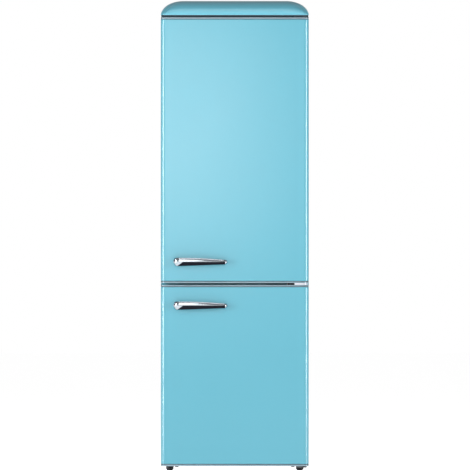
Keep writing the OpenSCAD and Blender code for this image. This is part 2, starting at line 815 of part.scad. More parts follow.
module freezer_drawer(i) {
    z0 = drawer_z[i];
    z1 = drawer_top[i];
    grip = 70;
    color("#dfeaf0") {
        tray(-drawer_x + ledge_w, drawer_x - ledge_w, drawer_y + 17, drawer_end[i], z0, z1 - 12, 14);
        along_y(drawer_y + 12, drawer_y + 17) polygon(rounded(-drawer_x, z0, drawer_x, z1, 12));
        along_x(-grip, grip) polygon([[drawer_y, z1 - 40], [drawer_y + 3, z1 - 44],
            [drawer_y + 3, z1 - 23], [drawer_y + 12, z1 - 20], [drawer_y + 12, z1 - 14],
            [drawer_y, z1 - 17]]);
    }
}

// ------------------------------------------------------------------ doors

bush_r = 9;
bush_l = 22;
skin_fold = 14;
cap_wall = 3;

// A door's outline from above, with round front edges
function door_plan(inset, y_back) = concat(
    [[inset - half_w, y_back]],
    arc(door_edge_r - half_w, y_door + door_edge_r, door_edge_r - inset, door_edge_r - inset,
        180, 270, 8),
    arc(half_w - door_edge_r, y_door + door_edge_r, door_edge_r - inset, door_edge_r - inset,
        270, 360, 8),
    [[half_w - inset, y_back]]);

module door_skin(z0, z1) {
    color(paint) from_z(z0 + trim_h, z1 - trim_h) difference() {
        polygon(door_plan(0, y_door_back));
        polygon(door_plan(shell_t, y_door_back - shell_t));
        translate([skin_fold - half_w, y_door_back - 2 * shell_t])
            square([body_w - 2 * skin_fold, 4 * shell_t]);
    }
}

// The raised rim that reaches into a compartment, as a ring
module rim_ring(x, c0, c1, grow, y0, y1) {
    along_y(y0, y1) difference() {
        polygon(rounded(-x - grow, c0 - grow, x + grow, c1 + grow, 12 + grow));
        polygon(rounded(rim_w - x + grow, c0 + rim_w + grow, x - rim_w - grow, c1 - rim_w - grow, 4));
    }
}

module door_foam(z0, z1) {
    color(foam_tint) difference() {
        union() {
            from_z(z0 + trim_h, z1 - trim_h) polygon(door_plan(shell_t, y_door_back - liner_t));
            from_z(z0 + cap_wall, z1 - cap_wall) polygon(door_plan(cap_wall, y_door_back - cap_wall));
        }
        bush_holes(z0, z1);
    }
}

// The foam inside the liner's rim
module rim_foam(x, c0, c1, depth) {
    color(foam_tint) rim_ring(x, c0, c1, -liner_t, y_door_back - liner_t, y_door_back + depth - liner_t);
}

module door_liner(z0, z1, x, c0, c1, depth, lugs) {
    color(white) {
        difference() {
            union() {
                block([skin_fold - half_w, y_door_back - liner_t, z0 + trim_h],
                      [half_w - skin_fold, y_door_back, z1 - trim_h]);
                rim_ring(x, c0, c1, 0, y_door_back - past, y_door_back + depth);
            }
            rim_ring(x, c0, c1, -liner_t, y_door_back - liner_t - past, y_door_back + depth - liner_t);
        }
        // A lug under each end of each bin
        for (z = lugs) for (s = [-1, 1])
            block([s * (bin_x - 10) - 10, y_door_back - 1, z - 9],
                  [s * (bin_x - 10) + 10, y_door_back + 16, z]);
    }
}

// A shallow cap closes each end of a door, and its rim is the bright strip
module door_trims(z0, z1) {
    color(chrome) difference() {
        for (z = [z0, z1 - trim_h]) from_z(z, z + trim_h) polygon(door_plan(0, y_door_back));
        from_z(z0 + cap_wall, z1 - cap_wall) polygon(door_plan(cap_wall, y_door_back - cap_wall));
        bush_holes(z0, z1);
    }
}

module bush_holes(z0, z1) {
    rod_z(x_hinge, y_hinge, z0 - past, z0 + bush_l + seat_gap, bush_r + seat_gap);
    rod_z(x_hinge, y_hinge, z1 - bush_l - seat_gap, z1 + past, bush_r + seat_gap);
}

// Blind bushes, one at each end of the door, that turn on the hinge pins
module door_bushes(z0, z1) {
    color(white) difference() {
        union() {
            rod_z(x_hinge, y_hinge, z0, z0 + bush_l, bush_r);
            rod_z(x_hinge, y_hinge, z1 - bush_l, z1, bush_r);
        }
        rod_z(x_hinge, y_hinge, z0 - past, z0 + bush_l - 3, pin_r + run_gap);
        rod_z(x_hinge, y_hinge, z1 - bush_l + 3, z1 + past, pin_r + run_gap);
    }
}

module door_gasket(g0, g1) {
    color(grey) along_y(y_door_back, y_front - seal_gap) difference() {
        polygon(rounded(-gasket_x, g0, gasket_x, g1, 5));
        polygon(rounded(gasket_w - gasket_x, g0 + gasket_w, gasket_x - gasket_w, g1 - gasket_w, 2));
    }
}

// Both doors' ends, rims and seals
upper_rim = [fridge_z0 + rim_gap, fridge_z1 - rim_gap];
lower_rim = [freezer_z0 + rim_gap, freezer_z1 - rim_gap];
seal_inset = 4;
upper_seal = [fridge_z0 - gasket_w - seal_inset + 1, fridge_z1 + gasket_w + seal_inset];
lower_seal = [freezer_z0 - gasket_w - seal_inset, freezer_z1 + gasket_w + seal_inset - 1];

// ------------------------------------------------------------------ handles

// Length of the broad foot and of the narrow one, along the door
handle_foot = 26;
handle_tip = 14;

// From above: the bar bows out from a broad foot to a narrow one; y runs out from the door
function bow_outer(n) = concat(
    [[0, 0]], arc(26, handle_proj - 22, 26, 22, 180, 90, 6),
    [for (i = [1:n]) let (t = i / n)
        [26 + (handle_l - 40) * t, handle_proj - 8 * t * t]],
    arc(handle_l - 14, handle_proj - 8 - 14, 14, 14, 90, 0, 5), [[handle_l, 0]]);

function bow_inner(n) = concat(
    [[handle_l - handle_tip, 0]],
    arc(handle_l - handle_tip - 8, handle_proj - 8 - handle_t - 8, 8, 8, 0, 90, 4),
    [for (i = [1:n]) let (t = 1 - i / n)
        [handle_foot + 14 + (handle_l - handle_tip - handle_foot - 22) * t,
         handle_proj - handle_t - 8 * t * t]],
    arc(handle_foot + 14, handle_proj - handle_t - 12, 14, 12, 90, 180, 4), [[handle_foot, 0]]);

// From the front: a blade that tapers from the thick end to the tip
function blade(n) = concat(
    arc(8, -handle_h / 2 + 8, 8, 8, 270, 180, 4), arc(8, handle_h / 2 - 8, 8, 8, 180, 90, 4),
    [for (i = [0:n]) let (t = i / n)
        [handle_l * (0.1 + 0.86 * t),
         handle_h / 2 + 1 - (handle_h / 2 + 1 - handle_tip_h / 2 - 1.2) * t * t]],
    [[handle_l - 1, handle_tip_h / 2 - 1], [handle_l, 1], [handle_l - 1, 1.5 - handle_tip_h / 2],
     [handle_l * 0.9, 1.2 - handle_tip_h / 2]]);

// From the front: the dark inlay along the blade's lower half
function inlay_outline() = [
    [handle_l * 0.18, 0.8], [handle_l * 0.955, 0.8], [handle_l * 0.955, -handle_h],
    [handle_l * 0.08, -handle_h], [handle_l * 0.08, 0.5 - handle_h / 2]];

inlay_t = 2.5;

// Places a handle that is drawn with x along it, y out from the door and z up
module on_door(z) {
    translate([handle_inset - half_w, y_door, z]) mirror([0, 1, 0]) children();
}

module handle_solid() {
    intersection() {
        from_z(-handle_h, handle_h) polygon(concat(bow_outer(10), bow_inner(10)));
        along_y(-past, handle_proj + past) polygon(blade(10));
    }
}

// The front layer of the bar, inside the inlay's outline
module inlay_solid() {
    intersection() {
        handle_solid();
        difference() {
            from_z(-handle_h, handle_h) polygon(bow_outer(10));
            translate([0, -inlay_t, -handle_h - past])
                linear_extrude(2 * handle_h + 2 * past) polygon(bow_outer(10));
        }
        along_y(-past, handle_proj + past) polygon(inlay_outline());
    }
}

module handle_bar(z) {
    color(chrome) on_door(z) difference() {
        handle_solid();
        inlay_solid();
    }
}

module handle_inlay(z) { color(black) on_door(z) inlay_solid(); }

upper_handle_z = z_upper_door + handle_offset;
lower_handle_z = z_split - handle_offset;

// ------------------------------------------------------------------ door bins

bin_x = fridge_x - 27;
bin_y = y_door_back + 0.3;
fridge_h = fridge_z1 - fridge_z0;
bin_zs = [fridge_z0 + 26, fridge_z0 + fridge_h * 0.42, fridge_z0 + fridge_h * 0.72];
bin_hs = [118, 84, 76];
bin_r = 3;

module door_bin(i) {
    z = bin_zs[i];
    color("#d7e9ec") tray(-bin_x + 0.5, bin_x - 0.5, bin_y, bin_y + bin_d, z, z + bin_hs[i], bin_r);
}

// Keeps bottles upright: it grips the bottle bin's rear wall and slides along it
module bottle_retainer() {
    z = bin_zs[0] + bin_hs[0];
    y = bin_y + bin_d;
    color(white) difference() {
        union() {
            block([-20, y - 8, z - 22], [20, y + 3, z + 3]);
            block([-1.5, y - 70, z - 34], [1.5, y - 7, z - 6]);
        }
        block([-21, y - tub_t - 0.3, z - 23], [21, y + 0.3, z + 0.3]);
    }
}

lid_pin_r = 3;
lid_z = bin_zs[2] + bin_hs[2] + 4 + lid_pin_r;
lid_y = bin_y + 6;

// A lid that swings up over the dairy bin, about a rod along its rear edge
module dairy_lid() {
    color("#d7e9ec") {
        rod_x(lid_y, lid_z, 2 - bin_x, bin_x - 2, lid_pin_r);
        along_x(6 - bin_x, bin_x - 6) polygon([[lid_y, lid_z - 2], [lid_y, lid_z + 1.5],
            [bin_y + bin_d + 1, lid_z - 2], [bin_y + bin_d + 1, lid_z - 4 - lid_pin_r + 1],
            [bin_y + bin_d - 2, lid_z - 4 - lid_pin_r + 1], [bin_y + bin_d - 2, lid_z - 5]]);
    }
}

// The dairy bin has an ear at each end that the lid's rod turns in
module dairy_bin() {
    door_bin(2);
    color("#d7e9ec") for (s = [-1, 1]) difference() {
        block([s > 0 ? bin_x - 4 : 0.5 - bin_x, bin_y, bin_zs[2] + bin_hs[2] - 6],
              [s > 0 ? bin_x - 0.5 : 4 - bin_x, lid_y + 8, lid_z + 7]);
        rod_x(lid_y, lid_z, -half_w, half_w, lid_pin_r + run_gap);
    }
}

// ------------------------------------------------------------------ what is drawn

outer_shell();
front_frame();
rear_panel();
base_plate();
cabinet_foam();
fridge_liner();
freezer_liner();
top_cap();
cap_carrier();
compressor();
compressor_grommets();
relay_cover();
refrigerant_pipes();
condenser_coil();
condenser_grid();
condenser_brackets();
drip_tray();
control_housing();
lamp_lens();
glass_shelves();
shelf_trims();
freezer_shelves();
hinge_top();
hinge_middle();
hinge_bottom();
hinge_cover();
hinge_screws();
roller_brackets();
roller_axles();
cord_gland();
thermostat_dial();
light_plunger();
crisper_drawer();
freezer_drawer(0);  // freezer_drawer_1
freezer_drawer(1);  // freezer_drawer_2
freezer_drawer(2);  // freezer_drawer_3
foot(-1);  // foot_left
foot(1);  // foot_right
roller(-1);  // roller_left
roller(1);  // roller_right
door_skin(z_upper_door, z_upper_top);  // upper_door_skin
door_foam(z_upper_door, z_upper_top);  // upper_door_foam
rim_foam(fridge_x - rim_gap, upper_rim[0], upper_rim[1], rim_d);  // upper_door_rim_foam
door_liner(z_upper_door, z_upper_top, fridge_x - rim_gap, upper_rim[0], upper_rim[1], rim_d,  // upper_door_liner
               [bin_zs[1], bin_zs[2]]);
door_trims(z_upper_door, z_upper_top);  // upper_door_trims
door_gasket(upper_seal[0], upper_seal[1]);  // upper_door_gasket
door_bushes(z_upper_door, z_upper_top);  // upper_door_bushes
handle_bar(upper_handle_z);  // upper_handle_bar
handle_inlay(upper_handle_z);  // upper_handle_inlay
door_bin(0);  // bottle_bin
door_bin(1);  // middle_bin
dairy_bin();
dairy_lid();
bottle_retainer();
door_skin(door_clear, z_split);  // lower_door_skin
door_foam(door_clear, z_split);  // lower_door_foam
rim_foam(freezer_x - rim_gap, lower_rim[0], lower_rim[1], freezer_rim_d);  // lower_door_rim_foam
door_liner(door_clear, z_split, freezer_x - rim_gap, lower_rim[0], lower_rim[1], freezer_rim_d, []);  // lower_door_liner
door_trims(door_clear, z_split);  // lower_door_trims
door_gasket(lower_seal[0], lower_seal[1]);  // lower_door_gasket
door_bushes(door_clear, z_split);  // lower_door_bushes
handle_bar(lower_handle_z);  // lower_handle_bar
handle_inlay(lower_handle_z);  // lower_handle_inlay
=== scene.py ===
import logging
import math
from collections.abc import Callable, Iterable
from dataclasses import dataclass, field
from enum import Enum
from typing import Any

import bmesh
import bpy
from bmesh.types import BMEdge, BMesh, BMFace, BMVert
from bpy.types import Material, Node, NodeSocket, NodeTree
from mathutils import Matrix, Vector


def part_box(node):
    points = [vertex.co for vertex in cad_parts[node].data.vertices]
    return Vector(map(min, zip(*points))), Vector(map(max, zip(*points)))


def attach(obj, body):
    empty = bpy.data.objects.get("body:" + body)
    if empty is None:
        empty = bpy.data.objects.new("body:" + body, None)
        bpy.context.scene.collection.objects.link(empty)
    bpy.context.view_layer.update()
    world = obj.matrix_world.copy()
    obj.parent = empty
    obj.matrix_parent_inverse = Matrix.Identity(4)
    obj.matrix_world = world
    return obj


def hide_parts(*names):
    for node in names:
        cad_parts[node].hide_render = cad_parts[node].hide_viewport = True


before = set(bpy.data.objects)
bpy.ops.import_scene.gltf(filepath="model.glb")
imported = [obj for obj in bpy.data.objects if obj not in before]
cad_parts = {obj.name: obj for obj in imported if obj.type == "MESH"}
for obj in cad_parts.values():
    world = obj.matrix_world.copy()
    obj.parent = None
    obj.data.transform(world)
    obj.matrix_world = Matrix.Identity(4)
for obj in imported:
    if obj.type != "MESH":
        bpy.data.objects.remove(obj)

LOG = logging.getLogger("refrigerator")
MM = 0.001
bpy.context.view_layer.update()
UP = Vector((0.0, 0.0, 1.0))
FLAT = 0.99  # cosine above which a face counts as square to an axis


class Axis(Enum):
    """A direction of the frame, by its place in a vector."""

    X = 0
    Y = 1
    Z = 2


class Grain(Enum):
    """The fine surface that a finish has."""

    SMOOTH = "smooth"
    ORANGE_PEEL = "orange peel of sprayed enamel"
    MOULDED = "fine spark texture of a moulding"
    BRUSHED = "long scratches of a rolled or brushed sheet"
    SPANGLE = "crystals of a zinc coating"
    CELLS = "cells of a rigid foam"
    CAST = "soft ripple of a plated casting"


# ----------------------------------------------------------------- finishes


def linear(red: float, green: float, blue: float) -> tuple[float, float, float]:
    """Turns a screen colour into scene light.

    Args:
        red: Screen value from 0 to 255.
        green: Screen value from 0 to 255.
        blue: Screen value from 0 to 255.

    Returns:
        The three values as linear light from 0 to 1.
    """

    def one(value: float) -> float:
        share = value / 255.0
        return share / 12.92 if share <= 0.04045 else ((share + 0.055) / 1.055) ** 2.4

    return one(red), one(green), one(blue)


def set_inputs(node: Node, values: dict[str, Any]) -> Node:
    """Sets constant values on a node's inputs and hands the node back."""
    for name, value in values.items():
        node.inputs[name].default_value = value
    return node


def add_node(tree: NodeTree, kind: str, values: dict[str, Any] | None = None) -> Node:
    """Adds a shader node with constant values on its inputs."""
    return set_inputs(tree.nodes.new("ShaderNode" + kind), values or {})


@dataclass(frozen=True)
class Finish:
    """A surface: its colour, gloss, fine grain and how much each varies over a piece."""

    name: str
    colour: tuple[float, float, float]
    grain: Grain = Grain.SMOOTH
    metallic: float = 0.0
    roughness: float = 0.4
    mottle: float = 0.06
    relief: float = 0.1
    coat: float = 0.0
    clear: float = 0.0
    ior: float = 1.5
    glow: float = 0.0
    shine: float = 0.5

    def material(self) -> Material:
        """Builds the material, or finds it if it's there already."""
        known = bpy.data.materials.get(self.name)
        if known:
            return known
        made = bpy.data.materials.new(self.name)
        made.use_nodes = True
        tree = made.node_tree
        shader = set_inputs(tree.nodes["Principled BSDF"], {
            "Metallic": self.metallic, "IOR": self.ior, "Specular IOR Level": self.shine,
            "Coat Weight": self.coat, "Coat Roughness": self.roughness * 0.7, "Transmission Weight": self.clear})
        if self.glow:
            set_inputs(shader, {"Emission Color": (*self.colour, 1.0), "Emission Strength": self.glow})
        coords = add_node(tree, "TexCoord")
        fine = self._pattern(tree, coords)
        broad = self._noise(tree, coords, scale=3.5, detail=3.0)
        tree.links.new(self._tone(tree, broad, fine), shader.inputs["Base Color"])
        tree.links.new(self._gloss(tree, broad, fine), shader.inputs["Roughness"])
        if self.relief and self.grain is not Grain.SMOOTH:
            bump = add_node(tree, "Bump", {"Strength": self.relief, "Distance": 0.0004})
            tree.links.new(fine, bump.inputs["Height"])
            tree.links.new(bump.outputs["Normal"], shader.inputs["Normal"])
        return made

    def _noise(self, tree: NodeTree, coords: Node, scale: float, detail: float,
               stretch: tuple[float, float, float] = (1.0, 1.0, 1.0)) -> NodeSocket:
        """Adds a noise over the piece.

        Args:
            tree: Node tree to add to.
            coords: Texture Coordinate node of that tree.
            scale: Number of features to a metre.
            detail: Number of finer layers.
            stretch: Scale along each axis, for a grain with a direction.

        Returns:
            The noise's value.
        """
        place = add_node(tree, "Mapping", {"Scale": stretch})
        noise = add_node(tree, "TexNoise", {"Scale": scale, "Detail": detail})
        tree.links.new(coords.outputs["Object"], place.inputs["Vector"])
        tree.links.new(place.outputs["Vector"], noise.inputs["Vector"])
        return noise.outputs["Fac"]

    def _pattern(self, tree: NodeTree, coords: Node) -> NodeSocket:
        """Adds the fine grain.

        Args:
            tree: Node tree to add to.
            coords: Texture Coordinate node of that tree.

        Returns:
            The grain's height from 0 to 1.
        """
        if self.grain in (Grain.SPANGLE, Grain.CELLS):
            cells = add_node(tree, "TexVoronoi", {"Scale": 90.0 if self.grain is Grain.SPANGLE else 600.0})
            tree.links.new(coords.outputs["Object"], cells.inputs["Vector"])
            shade = add_node(tree, "RGBToBW")
            tree.links.new(cells.outputs["Color"], shade.inputs["Color"])
            return shade.outputs["Val"] if self.grain is Grain.SPANGLE else cells.outputs["Distance"]
        even = (1.0, 1.0, 1.0)
        settings = {
            Grain.SMOOTH: (40.0, 2.0, even),
            Grain.ORANGE_PEEL: (420.0, 1.0, even),
            Grain.MOULDED: (1600.0, 2.0, even),
            Grain.BRUSHED: (900.0, 3.0, (0.02, 1.0, 1.0)),
            Grain.CAST: (60.0, 2.0, even),
        }
        return self._noise(tree, coords, *settings[self.grain])

    def _tone(self, tree: NodeTree, broad: NodeSocket,
              fine: NodeSocket) -> NodeSocket:
        """Varies the colour a little over the piece and with the grain.

        Args:
            tree: Node tree to add to.
            broad: Slow noise.
            fine: Grain.

        Returns:
            The colour.
        """
        ramp = add_node(tree, "ValToRGB")
        ends = zip(ramp.color_ramp.elements, (0.3, 0.7), (1.0 - self.mottle, 1.0 + self.mottle * 0.5))
        for element, position, gain in ends:
            element.position = position
            element.color = (*[min(1.0, part * gain) for part in self.colour], 1.0)
        joined, halved = add_node(tree, "Math"), add_node(tree, "Math")
        joined.operation, halved.operation = "MULTIPLY_ADD", "MULTIPLY"
        joined.inputs[1].default_value = halved.inputs[1].default_value = 0.5
        tree.links.new(fine, halved.inputs[0])
        tree.links.new(broad, joined.inputs[0])
        tree.links.new(halved.outputs[0], joined.inputs[2])
        tree.links.new(joined.outputs[0], ramp.inputs["Fac"])
        return ramp.outputs["Color"]

    def _gloss(self, tree: NodeTree, broad: NodeSocket,
               fine: NodeSocket) -> NodeSocket:
        """Varies the roughness a little, as handling and cleaning do.

        Args:
            tree: Node tree to add to.
            broad: Slow noise.
            fine: Grain.

        Returns:
            The roughness.
        """
        spread = add_node(tree, "MapRange", {"To Min": self.roughness * 0.8,
                                             "To Max": min(1.0, self.roughness * 1.25)})
        tree.links.new(fine if self.grain is Grain.SPANGLE else broad, spread.inputs["Value"])
        return spread.outputs["Result"]


SKY_BLUE = (0.057, 0.268, 0.345)
# The cover blue is the doors' blue made about a quarter lighter: painted light on the domed cover and the front frame,
# which share the doors' paint.
LIT_COVER_BLUE = (0.080, 0.335, 0.430)
ENAMEL = Finish("sky_enamel", SKY_BLUE, Grain.ORANGE_PEEL, roughness=0.34, mottle=0.02, relief=0.01, coat=1.0)
LIT_COVER_ENAMEL = Finish("cover_enamel_painted_light", LIT_COVER_BLUE, Grain.ORANGE_PEEL, roughness=0.40, mottle=0.02, relief=0.03,
                      coat=1.0)
CHROME = Finish("bright_chrome", (0.42, 0.46, 0.50), Grain.CAST, metallic=1.0, roughness=0.16, mottle=0.03,
                relief=0.02)
# The strip chrome is darkened and tinted towards the doors' blue: painted shade and a painted reflection of the blue
# paint.
STRIP_CHROME_PAINTED_SHADE_AND_REFLECTION = Finish("strip_chrome_painted_shade_and_reflection", (0.26, 0.34, 0.39), Grain.BRUSHED, metallic=1.0, roughness=0.34, mottle=0.05,
                      relief=0.05)
ZINC = Finish("zinc_plate", (0.60, 0.61, 0.62), Grain.BRUSHED, metallic=1.0, roughness=0.32, mottle=0.12, relief=0.1)
NICKEL = Finish("satin_nickel", (0.78, 0.79, 0.86), Grain.BRUSHED, metallic=0.5, roughness=0.3, mottle=0.04,
                relief=0.05)
SPANGLED = Finish("galvanised_sheet", (0.66, 0.68, 0.69), Grain.SPANGLE, metallic=0.8, roughness=0.42, mottle=0.09,
                  relief=0.05)
WHITE_LINER = Finish("liner_white", linear(212, 217, 219), Grain.MOULDED, roughness=0.28, mottle=0.03, relief=0.06)
WHITE_PLASTIC = Finish("white_moulding", linear(210, 215, 217), Grain.MOULDED, roughness=0.35, mottle=0.04,
                       relief=0.12)
GREY_PLASTIC = Finish("grey_moulding", linear(150, 156, 160), Grain.MOULDED, roughness=0.45, mottle=0.06, relief=0.2)
BLACK_PLASTIC = Finish("black_moulding", linear(17, 18, 22), Grain.MOULDED, roughness=0.42, mottle=0.15, relief=0.25,
                       shine=0.25)
# Slate is black plastic tinted towards the doors' blue: a painted reflection on the cover's carrier, and painted shade
# as the dark line of the door necks.
SLATE_SHADE_AND_REFLECTION = Finish("slate_painted_shade_and_reflection", linear(24, 44, 56), Grain.MOULDED, roughness=0.5, mottle=0.12, relief=0.2)
# The polished black is a sheet over the handle's lower half: a painted dark reflection and painted shade of the bar's
# underside.
DARK_REFLECTION_BLACK = Finish("painted_dark_reflection", linear(8, 10, 20), Grain.ORANGE_PEEL, roughness=0.12, mottle=0.1,
                     relief=0.02, shine=0.1)
BLACK_ENAMEL = Finish("baked_black", linear(24, 24, 26), Grain.ORANGE_PEEL, roughness=0.3, mottle=0.15, relief=0.2,
                      coat=0.2)
RUBBER = Finish("black_rubber", linear(34, 34, 36), Grain.MOULDED, roughness=0.75, mottle=0.15, relief=0.3)
SEAL = Finish("seal_grey", linear(178, 184, 187), Grain.MOULDED, roughness=0.6, mottle=0.06, relief=0.12)
COPPER = Finish("copper_tube", (0.80, 0.40, 0.24), Grain.BRUSHED, metallic=1.0, roughness=0.28, mottle=0.2,
                relief=0.1)
FOAM = Finish("rigid_foam", linear(226, 208, 142), Grain.CELLS, roughness=0.85, mottle=0.12, relief=0.8)
GLASS = Finish("shelf_glass", (0.86, 0.96, 0.94), Grain.SMOOTH, roughness=0.03, mottle=0.02, clear=1.0, ior=1.5)
CLEAR_TUB = Finish("clear_tub", (0.82, 0.93, 0.96), Grain.SMOOTH, roughness=0.12, mottle=0.03, clear=0.85, ior=1.45)
FROSTED = Finish("frosted_lens", (0.97, 0.95, 0.88), Grain.MOULDED, roughness=0.5, mottle=0.03, relief=0.2,
                 clear=0.3, glow=0.6)


# ----------------------------------------------------------------- bench tools


def place_of(node: str) -> tuple[Vector, Vector]:
    """Finds a CAD node's lowest and highest corners."""
    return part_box(node)


def slab(low: Vector, high: Vector) -> BMesh:
    """Starts a block between its lowest and its highest corner."""
    block = bmesh.new()
    bmesh.ops.create_cube(block, size=1.0)
    bmesh.ops.scale(block, vec=high - low, verts=block.verts)
    bmesh.ops.translate(block, vec=(low + high) / 2, verts=block.verts)
    return block


def everything(shape: BMesh) -> list[Any]:
    """Lists all of a shape's vertices, edges and faces."""
    return shape.verts[:] + shape.edges[:] + shape.faces[:]


def grow(shape: BMesh, edges: list[BMEdge]) -> tuple[list[BMVert], list[BMEdge]]:
    """Extrudes edges in place and hands back the new vertices and the new edges."""
    fresh = bmesh.ops.extrude_edge_only(shape, edges=edges)["geom"]
    return [g for g in fresh if isinstance(g, BMVert)], [g for g in fresh if isinstance(g, BMEdge)]


def quarter(steps: int) -> list[tuple[float, float]]:
    """Lists the sine and cosine of even steps through a right angle."""
    return [(math.sin(math.pi / 2 * i / steps), math.cos(math.pi / 2 * i / steps)) for i in range(steps + 1)]


def join(pieces: Iterable[BMesh]) -> BMesh:
    """Joins several shapes into one and frees them."""
    whole = bmesh.new()
    carrier = bpy.data.meshes.new("carrier")
    for piece in pieces:
        piece.to_mesh(carrier)
        piece.free()
        whole.from_mesh(carrier)
    bpy.data.meshes.remove(carrier)
    return whole


def edges_along(shape: BMesh, axis: Axis, keep: Callable[[Vector], bool] = lambda middle: True) -> list[BMEdge]:
    """Picks the edges that run along an axis.

    Args:
        shape: Shape to look in.
        axis: Direction that the edges have.
        keep: Test of an edge's middle.

    Returns:
        The edges.
    """
    picked = []
    for edge in shape.edges:
        run = edge.verts[1].co - edge.verts[0].co
        if run.length and abs(run[axis.value]) > 0.999 * run.length:
            if keep((edge.verts[0].co + edge.verts[1].co) / 2):
                picked.append(edge)
    return picked


def round_over(shape: BMesh, edges: Iterable[BMEdge], radius: float, segments: int = 3) -> None:
    """Rounds edges by a width in a number of steps."""
    bmesh.ops.bevel(shape, geom=list(edges), offset=radius, offset_type="OFFSET", segments=segments, profile=0.5,
                    affect="EDGES", material=-1, clamp_overlap=True)


def round_sharp(shape: BMesh, radius: float, segments: int = 2, angle: float = 40.0) -> None:
    """Rounds every edge whose two faces meet at more than an angle in degrees."""
    limit = math.radians(angle)
    sharp = [e for e in shape.edges if len(e.link_faces) == 2 and e.calc_face_angle(0.0) > limit]
    round_over(shape, sharp, radius, segments)


def level_edges(shape: BMesh) -> list[BMEdge]:
    """Lists the edges whose two ends are at one height."""
    return [e for e in shape.edges if abs(e.verts[0].co.z - e.verts[1].co.z) < 1e-6]


def drop_faces(shape: BMesh, test: Callable[[BMFace], bool]) -> None:
    """Removes the faces that a test picks, and what only they used."""
    bmesh.ops.delete(shape, geom=[f for f in shape.faces if test(f)], context="FACES")


def cad_copy(node: str) -> BMesh:
    """Copies a CAD node's mesh with its triangles merged back into plain faces."""
    shape = bmesh.new()
    shape.from_mesh(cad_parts[node].data)
    bmesh.ops.remove_doubles(shape, verts=shape.verts, dist=1e-5)
    bmesh.ops.dissolve_limit(shape, angle_limit=math.radians(0.5), verts=shape.verts, edges=shape.edges)
    return shape


def turned(profile: list[tuple[float, float]], centre: Vector, steps: int = 48) -> BMesh:
    """Turns a profile of radius and height about an upright axis.

    Args:
        profile: Radius and height of each point, from the bottom up, in metres.
        centre: Foot of the axis.
        steps: Number of steps in the full turn.

    Returns:
        The turned shape.
    """
    shape = bmesh.new()
    points = [shape.verts.new((radius, 0.0, height)) for radius, height in profile]
    edges = [shape.edges.new(pair) for pair in zip(points, points[1:])]
    bmesh.ops.spin(shape, geom=points + edges, cent=(0, 0, 0), axis=(0, 0, 1), angle=math.tau, steps=steps,
                   use_merge=True, dvec=(0, 0, 0))
    bmesh.ops.remove_doubles(shape, verts=shape.verts, dist=1e-6)
    bmesh.ops.recalc_face_normals(shape, faces=shape.faces)
    bmesh.ops.translate(shape, vec=centre, verts=shape.verts)
    return shape


def rod(start: Vector, end: Vector, radius: float, sides: int = 24) -> BMesh:
    """Makes a straight round rod.

    Args:
        start: Middle of its first end.
        end: Middle of its other end.
        radius: Radius.
        sides: Number of sides.

    Returns:
        The rod.
    """
    shape = bmesh.new()
    run = end - start
    bmesh.ops.create_cone(shape, cap_ends=True, segments=sides, radius1=radius, radius2=radius, depth=run.length)
    turn = UP.rotation_difference(run.normalized()).to_matrix().to_4x4()
    bmesh.ops.transform(shape, matrix=Matrix.Translation((start + end) / 2) @ turn, verts=shape.verts)
    return shape


def smooth_route(points: list[Vector], bend: float, steps: int = 6) -> list[Vector]:
    """Rounds the corners of a route.

    Args:
        points: Corners of the route, with its two ends.
        bend: How far from a corner its bend starts.
        steps: Number of stretches in a bend.

    Returns:
        Points along the rounded route.
    """
    route = [points[0]]
    for before, corner, after in zip(points, points[1:], points[2:]):
        first = corner + (before - corner).normalized() * bend
        last = corner + (after - corner).normalized() * bend
        for i in range(steps + 1):
            t = i / steps
            route.append(first * (1 - t) ** 2 + corner * 2 * t * (1 - t) + last * t * t)
    route.append(points[-1])
    return route


def tube(points: list[Vector], radius: float, sides: int = 12) -> BMesh:
    """Sweeps a round section along a route by extruding it from point to point.

    Args:
        points: Points of the route.
        radius: Radius of the tube.
        sides: Number of sides.

    Returns:
        The closed tube.
    """
    shape = bmesh.new()
    run = (points[1] - points[0]).normalized()
    turn = UP.rotation_difference(run)
    ring = bmesh.ops.create_circle(shape, cap_ends=True, radius=radius, segments=sides)["verts"]
    bmesh.ops.transform(shape, matrix=Matrix.Translation(points[0]) @ turn.to_matrix().to_4x4(), verts=ring)
    loop = shape.edges[:]
    for i in range(1, len(points)):
        ahead = points[min(i + 1, len(points) - 1)] - points[i]
        back = points[i] - points[i - 1]
        heading = (back.normalized() + (ahead.normalized() if ahead.length else back.normalized())).normalized()
        verts, loop = grow(shape, loop)
        swing = run.rotation_difference(heading).to_matrix().to_4x4()
        about = Matrix.Translation(points[i]) @ swing @ Matrix.Translation(-points[i - 1])
        bmesh.ops.transform(shape, matrix=about, verts=verts)
        run = heading
    bmesh.ops.contextual_create(shape, geom=loop)
    bmesh.ops.recalc_face_normals(shape, faces=shape.faces)
    return shape


def rounded_sheet(low: Vector, high: Vector, radius: float, segments: int = 8) -> BMesh:
    """Starts one face in X and Z with round corners, facing the rear.

    Args:
        low: Lowest corner; the face lies at its Y.
        high: Highest corner.
        radius: Radius of the corners.
        segments: Number of steps round a corner.

    Returns:
        The face.
    """
    shape = bmesh.new()
    corners = [(low.x, low.z), (high.x, low.z), (high.x, high.z), (low.x, high.z)]
    shape.faces.new([shape.verts.new((x, low.y, z)) for x, z in corners])
    if radius:
        bmesh.ops.bevel(shape, geom=shape.verts[:], offset=radius, offset_type="OFFSET", segments=segments,
                        profile=0.5, affect="VERTICES", material=-1, clamp_overlap=True)
    shape.normal_update()
    bmesh.ops.reverse_faces(shape, faces=shape.faces)
    return shape


